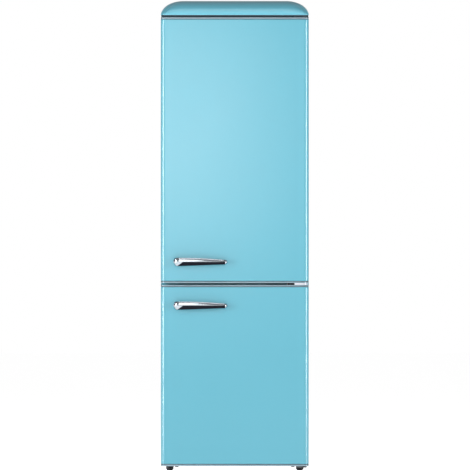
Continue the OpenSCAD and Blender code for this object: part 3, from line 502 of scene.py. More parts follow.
@dataclass
class Bench:
    """Finishes pieces and sets them on their bodies, and keeps count of them."""

    pieces: list[str] = field(default_factory=list)

    def set_down(self, shape: BMesh, name: str, finish: Finish, body: str, stands_for: tuple[str, ...], slot: str,
                 sharp: float = 38.0, even: bool = True, wall: float = 0.0) -> None:
        """Turns a shape into a finished piece.

        Args:
            shape: The shape, which is freed.
            name: The piece's name.
            finish: Its finish.
            body: The body that it rides on.
            stands_for: CAD nodes that it stands for.
            slot: The record's material slot; not used.
            sharp: Angle above which an edge shows as an edge, in degrees.
            even: Whether large faces keep their flat shading beside small ones, and a sheet its even thickness.
            wall: Thickness that the shape gets inward as a sheet; 0 leaves it as it is.
        """
        mesh = bpy.data.meshes.new(name)
        shape.to_mesh(mesh)
        shape.free()
        mesh.shade_smooth()
        mesh.set_sharp_from_angle(angle=math.radians(sharp))
        piece = bpy.data.objects.new(name, mesh)
        bpy.context.scene.collection.objects.link(piece)
        piece.data.materials.append(finish.material())
        if wall:
            thick = piece.modifiers.new("sheet", "SOLIDIFY")
            thick.thickness = wall
            thick.offset = -1.0
            thick.use_even_offset = even
        if even:
            weighted = piece.modifiers.new("even_shading", "WEIGHTED_NORMAL")
            weighted.keep_sharp = True
        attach(piece, body)
        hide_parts(*stands_for)
        self.pieces.append(name)
        LOG.info("%s on %s: %d faces", name, body, len(mesh.polygons))

    def refine(self, node: str, finish: Finish, body: str, slot: str, radius: float, segments: int = 2) -> None:
        """Stands a copy of a CAD node, with its edges broken, in for the node.

        Args:
            node: The node's name.
            finish: Finish of the copy.
            body: The body that it rides on.
            slot: The record's material slot.
            radius: Width of the broken edges.
            segments: Number of steps round them.
        """
        shape = cad_copy(node)
        round_sharp(shape, radius, segments)
        self.set_down(shape, node + "_finished", finish, body, (node,), slot)

    def refine_all(self, rows: Iterable[tuple[Any, ...]]) -> None:
        """Refines one node per row: node, finish, body, slot, edge width in millimetres and steps if not two."""
        for node, finish, body, slot, radius, *segments in rows:
            self.refine(node, finish, body, slot, radius * MM, *segments)

    def keep(self, node: str, finish: Finish) -> None:
        """Gives a CAD node its finish, and leaves its shape alone."""
        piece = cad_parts[node]
        piece.data.materials.clear()
        piece.data.materials.append(finish.material())
        self.pieces.append(node)
        LOG.info("%s kept with %s", node, finish.name)


# ----------------------------------------------------------------- cabinet


@dataclass
class Cabinet:
    """The insulated box: painted shell, flange, rear panel, floor sheet, foam and both liners."""

    bench: Bench
    sheet: float = 1.0 * MM
    edge_radius: float = 3.0 * MM
    rib_margin: float = 22.0 * MM
    rib_slope: float = 5.0 * MM
    rib_height: float = 2.0 * MM
    bands: int = 4

    def build(self) -> None:
        """Builds and finishes every piece of the cabinet."""
        self._shell()
        self._rear_panel()
        self.bench.refine_all((
            # The frame gets the lightened cover blue: painted light.
            ("front_frame", LIT_COVER_ENAMEL, "cabinet", "frame_paint", 0.4),
            ("base_plate", SPANGLED, "cabinet", "galvanised", 0.5),
            ("fridge_liner", WHITE_LINER, "cabinet", "liner", 1.6, 3),
            ("freezer_liner", WHITE_LINER, "cabinet", "liner", 1.6, 3)))
        self.bench.keep("cabinet_foam", FOAM)

    def _shell(self) -> None:
        """Bends the painted sheet over both sides and the top."""
        low, high = place_of("outer_shell")
        shell = slab(low, high)
        round_over(shell, edges_along(shell, Axis.Y, lambda m: m.z > high.z - MM), self.edge_radius, 5)
        drop_faces(shell, lambda f: abs(f.normal.y) > FLAT or f.normal.z < -FLAT)
        self.bench.set_down(shell, "cabinet_shell", ENAMEL, "cabinet", ("outer_shell",), "paint", wall=self.sheet)

    def _rear_panel(self) -> None:
        """Presses a raised field into each band of the rear sheet."""
        low, high = place_of("rear_panel")
        panel = slab(low, high)
        for i in range(1, self.bands):
            level = low.z + (high.z - low.z) * i / self.bands
            bmesh.ops.bisect_plane(panel, geom=everything(panel), plane_co=(0, 0, level), plane_no=UP)
        fields = [f for f in panel.faces if f.normal.y > FLAT]
        bmesh.ops.inset_individual(panel, faces=fields, thickness=self.rib_margin)
        bmesh.ops.inset_individual(panel, faces=fields, thickness=self.rib_slope, depth=self.rib_height)
        self.bench.set_down(panel, "rear_sheet", SPANGLED, "cabinet", ("rear_panel",), "galvanised", sharp=60.0)


# ----------------------------------------------------------------- top cover


@dataclass
class TopCover:
    """The domed cover and the dark carrier that it sits on."""

    bench: Bench
    wall: float = 2.5 * MM
    skirt: float = 2.0 * MM
    shoulder: float = 90.0 * MM
    nose: float = 105.0 * MM
    tail: float = 60.0 * MM
    crown: float = 5.0 * MM
    corner_radius: float = 20.0 * MM
    steps: int = 80

    def build(self) -> None:
        """Builds the cover and the carrier."""
        self._dome()
        # The carrier is black plastic; its blue tint is a painted reflection of the blue paint.
        self.bench.refine("cap_carrier", SLATE_SHADE_AND_REFLECTION, "cabinet", "black_plastic", 0.6 * MM)

    def _share_across(self, x: float, half: float) -> float:
        """Finds the cover's height at an X as a share of its height in the middle."""
        past = max(0.0, (abs(x) - (half - self.shoulder)) / self.shoulder)
        return math.sqrt(max(0.0, 1.0 - past * past))

    def _share_along(self, y: float, half: float, rise: float) -> float:
        """Finds the cover's height at a Y as a share of its height in the middle."""
        length = self.nose if y < 0 else self.tail
        past = max(0.0, (abs(y) - (half - length)) / length)
        level = 1.0 - self.crown / rise * min(1.0, abs(y) / (half - length)) ** 2
        return level * math.sqrt(max(0.0, 1.0 - past * past))

    def _in_plan(self, x: float, y: float, half_x: float, half_y: float) -> tuple[float, float]:
        """Draws the corners of a rectangle in to round ones.

        Args:
            x: Place across.
            y: Place along.
            half_x: Half of the rectangle's width.
            half_y: Half of its length.

        Returns:
            The place inside the rounded rectangle.
        """
        ring = max(abs(x) / half_x, abs(y) / half_y)
        radius = self.corner_radius * ring
        over_x = abs(x) - (half_x * ring - radius)
        over_y = abs(y) - (half_y * ring - radius)
        if ring == 0.0 or over_x <= 0.0 or over_y <= 0.0:
            return x, y
        pull = radius / math.hypot(over_x, over_y)
        pull_x = half_x * ring - radius + over_x * pull
        pull_y = half_y * ring - radius + over_y * pull
        return math.copysign(pull_x, x), math.copysign(pull_y, y)

    def _dome(self) -> None:
        """Raises a grid into the dome, and turns its border down into a skirt."""
        low, high = place_of("top_cap")
        half_x, half_y = (high.x - low.x) / 2, (high.y - low.y) / 2
        middle = (low + high) / 2
        rise = high.z - low.z - self.skirt
        dome = bmesh.new()
        bmesh.ops.create_grid(dome, x_segments=self.steps, y_segments=self.steps, size=1.0)
        for vert in dome.verts:
            x = math.sin(vert.co.x * math.pi / 2) * half_x
            y = math.sin(vert.co.y * math.pi / 2) * half_y
            height = rise * self._share_across(x, half_x) * self._share_along(y, half_y, rise)
            plan_x, plan_y = self._in_plan(x, y, half_x, half_y)
            vert.co = Vector((middle.x + plan_x, middle.y + plan_y, low.z + self.skirt + height))
        lower, _ = grow(dome, [e for e in dome.edges if e.is_boundary])
        bmesh.ops.translate(dome, vec=(0, 0, -self.skirt), verts=lower)
        bmesh.ops.recalc_face_normals(dome, faces=dome.faces)
        if sum(f.normal.z for f in dome.faces) < 0:
            bmesh.ops.reverse_faces(dome, faces=dome.faces)
        # The dome's lightened blue is painted light that brightens its upward-curving rows.
        self.bench.set_down(dome, "domed_cover", LIT_COVER_ENAMEL, "cabinet", ("top_cap",), "cap_paint", wall=self.wall,
                            sharp=60.0, even=False)


# ----------------------------------------------------------------- doors


@dataclass
class Handle:
    """A bowed chrome bar that tapers to a tip; a black inlay on its lower half is painted dark reflection and shade.
    Sizes in millimetres.
    """

    bench: Bench
    door: str
    length: float = 222.0
    foot: float = 26.0
    tip: float = 14.0
    reach: float = 38.0
    fall: float = 8.0
    thickness: float = 12.0
    height: float = 34.0
    arch: float = 1.0
    heel: tuple[float, float] = (26.0, 22.0)
    crook: tuple[float, float] = (14.0, 12.0)
    nose: float = 14.0
    notch: float = 8.0
    heel_round: float = 8.0
    tip_round: float = 3.0
    top_from: float = 0.1
    top_run: float = 0.86
    bottom_run: float = 0.9
    tip_top: float = 9.5
    tip_bottom: float = -10.0
    root: tuple[float, float] = (8.0, 7.0)
    stub: tuple[float, float] = (8.0, 5.0)
    lift: float = 0.2
    bends: int = 10
    span: int = 24
    inlay_line: float = 0.8
    inlay_end: float = 0.955
    inlay_start: float = 41.0
    inlay_slant: tuple[float, float] = (24.0, 16.5)
    inlay_depth: float = 17.0
    inlay_round: float = 0.3
    sink: float = 0.35
    sides: int = 40
    squareness: float = 0.5
    upper_bevel: float = 0.35
    lower_bevel: float = 0.7

    def build(self) -> None:
        """Builds the bar and its inlay."""
        bar = self._loft(-self.sink)
        body = self.door + "_door"
        self.bench.set_down(bar, self.door + "_handle_chrome", CHROME, body, (self.door + "_handle_bar",), "chrome",
                            sharp=50.0, even=False)
        inlay = self._loft(0.0)
        x0, z0 = self._origin()
        line = z0 + self.inlay_line * MM
        run, rise = self.inlay_slant
        self._cut(inlay, Vector((x0, 0, line)), UP)
        self._cut(inlay, Vector((x0 + self.length * self.inlay_end * MM, 0, 0)), Vector((1, 0, 0)))
        self._cut(inlay, Vector((x0 + self.inlay_start * MM, 0, line)),
                  Vector((-(rise + self.inlay_line), 0, run)).normalized())
        depth = place_of(body + "_skin")[0].y - self.inlay_depth * MM
        self._cut(inlay, Vector((0, depth, 0)), Vector((0, 1, 0)))
        round_over(inlay, [e for e in inlay.edges if len(e.link_faces) == 2 and e.calc_face_angle(0) > 0.9],
                   self.inlay_round * MM, 2)
        # The black inlay is a painted dark reflection and shade on the bar's lower half.
        self.bench.set_down(inlay, self.door + "_handle_painted_dark", DARK_REFLECTION_BLACK, body,
                            (self.door + "_handle_inlay",), "gloss_black", sharp=50.0, even=False)

    def _origin(self) -> tuple[float, float]:
        """Finds the X of the handle's left end and the Z of its axis."""
        low, high = place_of(self.door + "_handle_bar")
        return low.x, high.z - (self.height / 2 + self.arch) * MM + self.lift * MM

    def _cut(self, shape: BMesh, point: Vector, normal: Vector) -> None:
        """Cuts off what lies past a plane and closes the cut."""
        cut = bmesh.ops.bisect_plane(shape, geom=everything(shape), dist=1e-6, plane_co=point, plane_no=normal,
                                     clear_outer=True)["geom_cut"]
        rim = [g for g in cut if isinstance(g, BMEdge) and g.is_valid and g.is_boundary]
        if rim:
            bmesh.ops.holes_fill(shape, edges=rim, sides=0)

    def _stations(self) -> list[tuple[Vector, Vector]]:
        """Lists pairs of an outer and an inner point of the bar from above, in millimetres."""
        (heel_x, heel_y), (crook_x, crook_y) = self.heel, self.crook
        under, end, inner_end = self.reach - self.thickness, self.length, self.length - self.tip
        pairs = [((0, 0), (self.foot, 0)), ((0, self.root[0]), (self.foot, self.root[1]))]
        for sine, cosine in quarter(self.bends):
            pairs.append(((heel_x - heel_x * cosine, self.reach - heel_y + heel_y * sine),
                          (self.foot + crook_x - crook_x * cosine, under - crook_y + crook_y * sine)))
        for i in range(1, self.span):
            t = i / self.span
            drop = self.fall * t * t
            pairs.append(((heel_x + (end - heel_x - self.nose) * t, self.reach - drop),
                          (self.foot + crook_x + (inner_end - self.foot - crook_x - self.notch) * t, under - drop)))
        for sine, cosine in quarter(self.bends):
            pairs.append(((end - self.nose + self.nose * sine, self.reach - self.fall - self.nose + self.nose * cosine),
                          (inner_end - self.notch + self.notch * sine,
                           under - self.fall - self.notch + self.notch * cosine)))
        pairs += [((end, self.stub[0]), (inner_end, self.stub[1])), ((end, 0), (inner_end, 0))]
        return [(Vector(outer), Vector(inner)) for outer, inner in pairs]

    def _outline(self, x: float) -> tuple[float, float]:
        """Finds the bar's lower and upper edge seen from the front.

        Args:
            x: Place along the bar in millimetres.

        Returns:
            Height of the lower and of the upper edge over the bar's axis.
        """
        along = x / self.length
        crest, sole = self.height / 2 + self.arch, -self.height / 2
        t = min(1.0, max(0.0, (along - self.top_from) / self.top_run))
        top = crest - (crest - self.tip_top) * t * t
        bottom = sole + (self.tip_bottom - sole) * min(1.0, along / self.bottom_run)
        for radius, inside in ((self.heel_round, x), (self.tip_round, self.length - x)):
            if inside < radius:
                cut = radius - math.sqrt(max(0.0, radius * radius - (radius - inside) ** 2))
                top, bottom = top - cut, bottom + cut
        return bottom, top

    def _loft(self, swell: float) -> BMesh:
        """Runs a boxy ring along the bar, with its size following the outline.

        Args:
            swell: How far the surface lies outside the nominal one, in millimetres.

        Returns:
            The closed bar.
        """
        x0, z0 = self._origin()
        face_y = place_of(self.door + "_door_skin")[0].y
        shape = bmesh.new()
        ring = bmesh.ops.create_circle(shape, cap_ends=True, radius=1.0, segments=self.sides)["verts"]
        plan = [self._soft(vert.co.x, vert.co.y) for vert in ring]
        loop = shape.edges[:]
        for number, (outer, inner) in enumerate(self._stations()):
            if number:
                verts, loop = grow(shape, loop)
                fresh = set(verts)
                ring = [next(e.other_vert(v) for e in v.link_edges if e.other_vert(v) in fresh) for v in ring]
            for vert, (across, up) in zip(ring, plan):
                spot = inner + (outer - inner) * (across + 1) / 2
                bottom, top = self._outline(spot.x)
                half = (top - bottom) / 2 + swell
                away = swell * across if number > 1 else 0.0
                vert.co = Vector((x0 + spot.x * MM, face_y - (spot.y + away) * MM,
                                  z0 + ((top + bottom) / 2 + half * up) * MM))
        bmesh.ops.contextual_create(shape, geom=loop)
        bmesh.ops.recalc_face_normals(shape, faces=shape.faces)
        return shape

    def _soft(self, x: float, y: float) -> tuple[float, float]:
        """Turns a point of a circle into one of a rounded square whose front is bevelled up and down."""
        across = math.copysign(abs(x) ** self.squareness, x)
        up = math.copysign(abs(y) ** self.squareness, y)
        if across > 0.0:
            across -= (self.upper_bevel if up > 0.0 else self.lower_bevel) * abs(up) * across
        return across, up


@dataclass
class Door:
    """A door: painted skin, chrome strips, foam, liner with its rim, seal, bushes and handle."""

    bench: Bench
    name: str
    rim_depth: float
    lugs: tuple[float, ...] = ()
    edge_radius: float = 18.0 * MM
    sheet: float = 1.0 * MM
    fold: float = 14.0 * MM
    roll: float = 1.6 * MM
    neck: float = 1.6 * MM
    neck_depth: float = 1.4 * MM
    bead_round: float = 3.6 * MM
    overlap: float = 1.5 * MM
    foam_gap: float = 3.0 * MM
    rim_width: float = 14.0 * MM
    rim_radius: float = 17.0 * MM
    rim_margin: float = 18.0 * MM
    draft: float = 1.2 * MM
    crest: float = 2.4 * MM
    field_rise: float = 0.6 * MM
    lug_size: tuple[float, float, float] = (20.0, 16.0, 9.0)
    lug_side: float = 215.0
    magnet: float = 9.0

    @property
    def body(self) -> str:
        """Gives the name of the body that the door is."""
        return self.name + "_door"

    def build(self) -> None:
        """Builds and finishes every piece of the door."""
        self._skin()
        self._strips()
        self._foam()
        self._liner()
        self._seal()
        self.bench.refine(self.body + "_bushes", WHITE_PLASTIC, self.body, "acetal", 0.4 * MM)
        Handle(self.bench, self.name).build()

    def _plan_block(self, low: Vector, high: Vector, radius: float) -> BMesh:
        """Starts a block with the door's outline from above."""
        block = slab(low, high)
        round_over(block, edges_along(block, Axis.Z, lambda m: m.y < low.y + MM), radius, 14)
        return block

    def _skin(self) -> None:
        """Folds the painted sheet round the front and both sides, with rolled ends."""
        low, high = place_of(self.body + "_skin")
        skin = self._plan_block(low, high, self.edge_radius)
        ends = [e for e in level_edges(skin) if (e.verts[0].co.y + e.verts[1].co.y) / 2 < high.y - 0.1 * MM]
        round_over(skin, ends, self.roll, 4)
        drop_faces(skin, lambda f: abs(f.normal.z) > FLAT)
        for side in (low.x + self.fold, high.x - self.fold):
            back = [f for f in skin.faces if f.normal.y > FLAT]
            rims = {part for f in back for part in (*f.edges, *f.verts)}
            bmesh.ops.bisect_plane(skin, geom=back + list(rims), plane_co=(side, 0, 0), plane_no=(1, 0, 0))
        drop_faces(skin, lambda f: f.normal.y > FLAT and abs(f.calc_center_median().x) < high.x - self.fold)
        self.bench.set_down(skin, self.body + "_sheet", ENAMEL, self.body, (self.body + "_skin",), "paint",
                            wall=self.sheet)

    def _strips(self) -> None:
        """Closes both ends of the door with a chrome bead over a recessed neck whose dark colour is painted shade."""
        low, high = place_of(self.body + "_trims")
        skin_low, skin_high = place_of(self.body + "_skin")
        beads, necks = [], []
        for bottom, top, skin_end in ((low.z, skin_low.z - self.neck, skin_low.z),
                                      (skin_high.z + self.neck, high.z, skin_high.z)):
            bead = self._plan_block(Vector((low.x, low.y, bottom)), Vector((high.x, high.y, top)), self.edge_radius)
            round_over(bead, level_edges(bead), self.bead_round, 4)
            beads.append(bead)
            inset = Vector((self.neck_depth, self.neck_depth, 0))
            ends = sorted((skin_end, bottom if skin_end < bottom else top))
            necks.append(self._plan_block(Vector((low.x, low.y, ends[0] - self.overlap)) + inset,
                                          Vector((high.x, high.y, ends[1] + self.overlap)) - inset,
                                          self.edge_radius - self.neck_depth))
        # The beads' dark, bluish chrome is painted shade and a painted reflection of the blue paint.
        self.bench.set_down(join(beads), self.body + "_beads", STRIP_CHROME_PAINTED_SHADE_AND_REFLECTION, self.body, (self.body + "_trims",),
                            "plated_plastic", even=False)
        # The necks' dark slate is a painted shadow line between bead and skin.
        self.bench.set_down(join(necks), self.body + "_necks", SLATE_SHADE_AND_REFLECTION, self.body, (self.body + "_trims",),
                            "black_plastic")

    def _foam(self) -> None:
        """Fills the door with foam, a little inside its skin."""
        low, high = place_of(self.body + "_skin")
        inset = Vector((self.foam_gap, self.foam_gap, 0.0))
        core = self._plan_block(low + inset, high - inset, self.edge_radius - self.foam_gap)
        self.bench.set_down(core, self.body + "_core", FOAM, self.body,
                            (self.body + "_foam", self.body + "_rim_foam"), "foam")

    def _liner(self) -> None:
        """Forms the liner: a panel, the raised rim with its drafted flanks, a sunk field and the bins' lugs."""
        low, high = place_of(self.body + "_liner")
        back = place_of(self.body + "_gasket")[0].y
        skin_low, skin_high = place_of(self.body + "_skin")
        panel = slab(Vector((low.x, back - 2 * MM, skin_low.z)), Vector((high.x, back, skin_high.z)))
        rim_low, rim_high = self._rim_corners()
        rim = rounded_sheet(Vector((rim_low.x, back, rim_low.z)), Vector((rim_high.x, back, rim_high.z)),
                            self.rim_radius, 8)
        flank, arc = self.rim_depth - self.crest, quarter(4)
        climb = [(self.crest * (c0 - c1), self.crest * (s1 - s0)) for (s0, c0), (s1, c1) in zip(arc, arc[1:])]
        steps = [(self.draft, flank), *climb, (self.rim_width - 2 * self.draft - 2 * self.crest, 0.0),
                 *((rise, -run) for run, rise in climb), (self.draft, -flank + self.field_rise)]
        self._step_in(rim, steps)
        parts = [panel, rim]
        width, depth, height = self.lug_size
        for level in self.lugs:
            for side in (-self.lug_side, self.lug_side):
                lug = slab(Vector((side - width / 2, back / MM - 1, level - height)) * MM,
                           Vector((side + width / 2, back / MM + depth, level)) * MM)
                round_sharp(lug, 1.0 * MM, 2)
                parts.append(lug)
        self.bench.set_down(join(parts), self.body + "_inner", WHITE_LINER, self.body, (self.body + "_liner",),
                            "liner", sharp=50.0, even=False)

    def _step_in(self, sheet: BMesh, steps: Iterable[tuple[float, float]]) -> BMFace:
        """Steps a sheet's middle face inwards, each time by a width and a depth, and hands it back."""
        middle = sheet.faces[:][0]
        for width, depth in steps:
            bmesh.ops.inset_region(sheet, faces=[middle], thickness=width, depth=depth, use_even_offset=True,
                                   use_boundary=True)
        return middle

    def _rim_corners(self) -> tuple[Vector, Vector]:
        """Finds the corners of the rim from the opening that it closes."""
        liner = "fridge_liner" if self.name == "upper" else "freezer_liner"
        low, high = place_of(liner)
        margin = Vector((self.rim_margin, 0.0, self.rim_margin))
        return low + margin, high - margin

    def _seal(self) -> None:
        """Forms the seal: a bellows with a groove on each flank and a flat magnet face."""
        low, high = place_of(self.body + "_gasket")
        ring = rounded_sheet(low, high, 0.0)
        flank = [(0.5, 4.0), (2.0, -1.5), (0.5, 1.5), (1.0, 5.0), (1.5, 2.0)]
        scale = (high.y - low.y) / sum(depth for _, depth in flank)
        steps = [*flank, (self.magnet, 0.0), *((width, -depth) for width, depth in reversed(flank))]
        middle = self._step_in(ring, [(width * MM, depth * scale) for width, depth in steps])
        bmesh.ops.delete(ring, geom=[middle], context="FACES")
        self.bench.set_down(ring, self.body + "_seal", SEAL, self.body, (self.body + "_gasket",), "seal", sharp=30.0,
                            even=False)


# ----------------------------------------------------------------- fittings


@dataclass
class Fittings:
    """What is fitted in the compartments and on the upper door."""

    bench: Bench

    def build(self) -> None:
        """Rounds the edges of shelves, drawers, bins, lid, retainer and controls."""
        drawers = {"crisper_drawer": "crisper", "freezer_drawer_1": "drawer_bottom",
                   "freezer_drawer_2": "drawer_middle", "freezer_drawer_3": "drawer_top"}
        self.bench.refine_all((
            ("glass_shelves", GLASS, "cabinet", "glass", 0.8),
            ("freezer_shelves", GLASS, "cabinet", "glass", 0.8),
            ("shelf_trims", WHITE_PLASTIC, "cabinet", "white_plastic", 1.0, 3),
            *((node, CLEAR_TUB, body, "clear_plastic", 0.8) for node, body in drawers.items()),
            *((node, CLEAR_TUB, "upper_door", "clear_plastic", 0.7)
              for node in ("bottle_bin", "middle_bin", "dairy_bin")),
            ("dairy_lid", CLEAR_TUB, "lid", "clear_plastic", 0.5),
            ("bottle_retainer", WHITE_PLASTIC, "retainer", "white_plastic", 0.5),
            ("control_housing", WHITE_PLASTIC, "cabinet", "white_plastic", 1.0, 3),
            ("lamp_lens", FROSTED, "cabinet", "lens", 0.8),
            ("thermostat_dial", GREY_PLASTIC, "dial", "white_plastic", 0.5),
            ("light_plunger", WHITE_PLASTIC, "plunger", "white_plastic", 0.4)))


# ----------------------------------------------------------------- cooling


@dataclass
class Cooling:
    """Compressor, lines, condenser and what belongs to them."""

    bench: Bench
    tube_radius: float = 2.4 * MM
    suction_radius: float = 4.0 * MM
    capillary_radius: float = 1.5 * MM
    wire_radius: float = 0.7 * MM
    wire_pitch: float = 12.0 * MM
    wires: int = 35
    rows: int = 25
    turn_steps: int = 10
    coil_half: float = 230.0 * MM
    coil_y: float = 343.5 * MM
    coil_z: tuple[float, float] = (347.0 * MM, 1775.0 * MM)
    compressor_at: tuple[float, float, float] = (95.0 * MM, 228.0 * MM, 48.0 * MM)
    can_radius: float = 78.0 * MM
    bottom_round: float = 22.0 * MM
    dome_round: float = 45.0 * MM
    seam_share: float = 0.45
    plate_drop: float = 3.0 * MM
    plate_round: float = 14.0 * MM

    def build(self) -> None:
        """Builds and finishes the cooling circuit."""
        self._coil()
        self._wires()
        self._lines()
        self._compressor()
        self.bench.refine_all((
            ("compressor_grommets", RUBBER, "cabinet", "rubber", 0.5),
            ("relay_cover", BLACK_PLASTIC, "cabinet", "black_plastic", 1.5, 3),
            ("condenser_brackets", BLACK_PLASTIC, "cabinet", "black_plastic", 0.6),
            ("drip_tray", WHITE_PLASTIC, "cabinet", "white_plastic", 0.8),
            ("cord_gland", RUBBER, "cabinet", "rubber", 0.5)))

    def _coil(self) -> None:
        """Bends one tube into level rows."""
        pitch = (self.coil_z[1] - self.coil_z[0]) / (self.rows - 1)
        route = []
        for row in range(self.rows):
            side = 1 if row % 2 == 0 else -1
            z = self.coil_z[0] + row * pitch
            route.append(Vector((-side * self.coil_half, self.coil_y, z)))
            route.append(Vector((side * self.coil_half, self.coil_y, z)))
            if row < self.rows - 1:
                for i in range(1, self.turn_steps):
                    a = math.pi * i / self.turn_steps
                    route.append(Vector((side * (self.coil_half + pitch / 2 * math.sin(a)), self.coil_y,
                                         z + pitch / 2 * (1 - math.cos(a)))))
        self.bench.set_down(tube(route, self.tube_radius, 12), "coil_tube", BLACK_ENAMEL, "cabinet",
                            ("condenser_coil",), "black_enamel", even=False)

    def _wires(self) -> None:
        """Welds upright wires to both faces of the coil, with a cross wire at each end."""
        low, high = place_of("condenser_grid")
        sides = []
        for y in (low.y + self.wire_radius, high.y - self.wire_radius):
            first = rod(Vector((low.x + self.wire_radius, y, low.z)), Vector((low.x + self.wire_radius, y, high.z)),
                        self.wire_radius, 8)
            whole = everything(first)
            for i in range(1, self.wires):
                copied = bmesh.ops.duplicate(first, geom=whole)["geom"]
                bmesh.ops.translate(first, vec=(i * self.wire_pitch, 0, 0),
                                    verts=[g for g in copied if isinstance(g, BMVert)])
            sides.append(first)
            for z in (low.z + self.wire_radius, high.z - self.wire_radius):
                sides.append(rod(Vector((low.x, y, z)), Vector((high.x, y, z)), self.wire_radius, 8))
        self.bench.set_down(join(sides), "coil_wires", BLACK_ENAMEL, "cabinet", ("condenser_grid",), "black_enamel",
                            even=False)

    def _lines(self) -> None:
        """Bends the suction line, the discharge line with its riser, the drier and the capillary."""
        cx, cy, cz = self.compressor_at
        low, high = place_of("refrigerant_pipes")
        roof = place_of("base_plate")[1].z - 1.2 * MM
        port, level = cx + 79.4 * MM, cz + 30 * MM
        suction, front, rear, inlet = port + 24 * MM, cy - 20 * MM, cy + 20 * MM, level + 20 * MM
        riser, drier, back = high.x - self.tube_radius, low.x + 8 * MM, self.coil_y
        bottom, top = self.coil_z
        routes = (
            (((port, front, inlet), (suction, front, inlet), (suction, front, roof - 1 * MM)),
             12, self.suction_radius, 16),
            (((port, rear, level), (riser, rear, level), (riser, back, level), (riser, back, top),
              (self.coil_half + 1 * MM, back, top)), 16, self.tube_radius, 12),
            (((-self.coil_half - 1 * MM, back, bottom), (drier, back, bottom), (drier, back, level + 165 * MM)),
             16, self.tube_radius, 12),
            (((drier, back, level + 95 * MM), (drier, back, level), (drier, low.y + 1 * MM, level)),
             18, self.capillary_radius, 10),
        )
        runs = [tube(smooth_route([Vector(corner) for corner in corners], bend * MM), radius, sides)
                for corners, bend, radius, sides in routes]
        can = [(0.0, 0), (1.8, 0), (2.6, 4), (7.6, 11), (8, 13), (8, 67), (7.6, 69), (3.4, 76), (2.4, 80), (0.0, 80)]
        runs.append(turned([(r * MM, z * MM) for r, z in can], Vector((drier, back, level + 90 * MM)), 32))
        self.bench.set_down(join(runs), "copper_lines", COPPER, "cabinet", ("refrigerant_pipes",), "copper",
                            even=False)

    def _compressor(self) -> None:
        """Turns the two-part housing with its weld flange, and adds the foot plate."""
        cx, cy, cz = self.compressor_at
        low, high = place_of("compressor")
        radius, height = self.can_radius, high.z - cz
        seam, foot, dome = height * self.seam_share, self.bottom_round, self.dome_round
        flange = [(0, -1), (1, 0), (3.4, 0), (4, 0.8), (4, 4.2), (3.4, 5), (0, 5), (-1, 6)]
        profile = [
            (0.0, 0.0), (radius - foot - 4 * MM, 0.0),
            *((radius - foot + foot * sine, foot - foot * cosine) for sine, cosine in quarter(8)[1:]),
            *((radius + out * MM, seam + up * MM) for out, up in flange),
            *((radius - dome - 1 * MM + dome * cosine, height - dome + dome * sine) for sine, cosine in quarter(12)),
            (0.0, height)]
        housing = turned(profile, Vector((cx, cy, cz)), 72)
        plate = slab(Vector((low.x, low.y, cz - self.plate_drop)), Vector((high.x, high.y, cz + 0.5 * MM)))
        round_over(plate, edges_along(plate, Axis.Z), self.plate_round, 8)
        round_sharp(plate, 0.6 * MM)
        self.bench.set_down(join([housing, plate]), "compressor_housing", BLACK_ENAMEL, "cabinet", ("compressor",),
                            "black_enamel", even=False)


# ----------------------------------------------------------------- hinges and feet


@dataclass
class Supports:
    """Hinges, screws, front feet and rear rollers. The foot's sizes are in millimetres."""

    bench: Bench
    pad: float = 15.5
    stem: float = 5.0
    groove: float = 4.5
    pitch: float = 1.25
    shoulder: float = 21.0

    def build(self) -> None:
        """Builds and finishes the hinges and what the cabinet stands on."""
        self.bench.refine_all((
            ("hinge_top", ZINC, "cabinet", "steel", 0.5),
            ("hinge_middle", NICKEL, "cabinet", "chrome", 0.7, 3),
            ("hinge_bottom", BLACK_ENAMEL, "cabinet", "steel", 0.5),
            ("hinge_cover", BLACK_PLASTIC, "cabinet", "black_plastic", 0.8, 3),
            ("hinge_screws", ZINC, "cabinet", "steel", 0.5),
            ("roller_brackets", ZINC, "cabinet", "steel", 0.5),
            ("roller_axles", ZINC, "cabinet", "steel", 0.4)))
        for side in ("left", "right"):
            self.bench.refine("roller_" + side, BLACK_PLASTIC, "roller_" + side[0], "black_plastic", 1.2 * MM, 3)
            self._foot(side)

    def _foot(self, side: str) -> None:
        """Turns a foot with its threaded stem."""
        low, high = place_of("foot_" + side)
        middle = (low + high) / 2
        spread = (high.x - low.x) / 2 / (self.pad * MM)
        profile = [(0.0, 0.0), (10.4, 0.0), (11.6, 0.5), (12.0, 1.4), (12.0, 2.6), (11.4, 3.4), (11.3, 4.2),
                   (12.2, 5.0), (14.6, 6.4), (15.4, 8.0), (self.pad, 9.6), (self.pad, 19.4), (15.1, 20.4),
                   (14.2, self.shoulder)]
        thread = [(self.stem, self.shoulder)]
        top = high.z / MM
        level = self.shoulder + 1.0
        while level < top - 1.5:
            thread += [(self.stem, level), (self.groove, level + 0.4), (self.stem, level + 0.8)]
            level += self.pitch
        thread += [(4.4, top), (0.0, top)]
        points = [(r * MM * spread, z * MM) for r, z in profile] + [(r * MM, z * MM) for r, z in thread]
        foot = turned(points, Vector((middle.x, middle.y, 0.0)), 64)
        self.bench.set_down(foot, "foot_" + side + "_turned", BLACK_PLASTIC, "foot_" + side[0], ("foot_" + side,),
                            "black_plastic", sharp=50.0, even=False)


# ----------------------------------------------------------------- studio


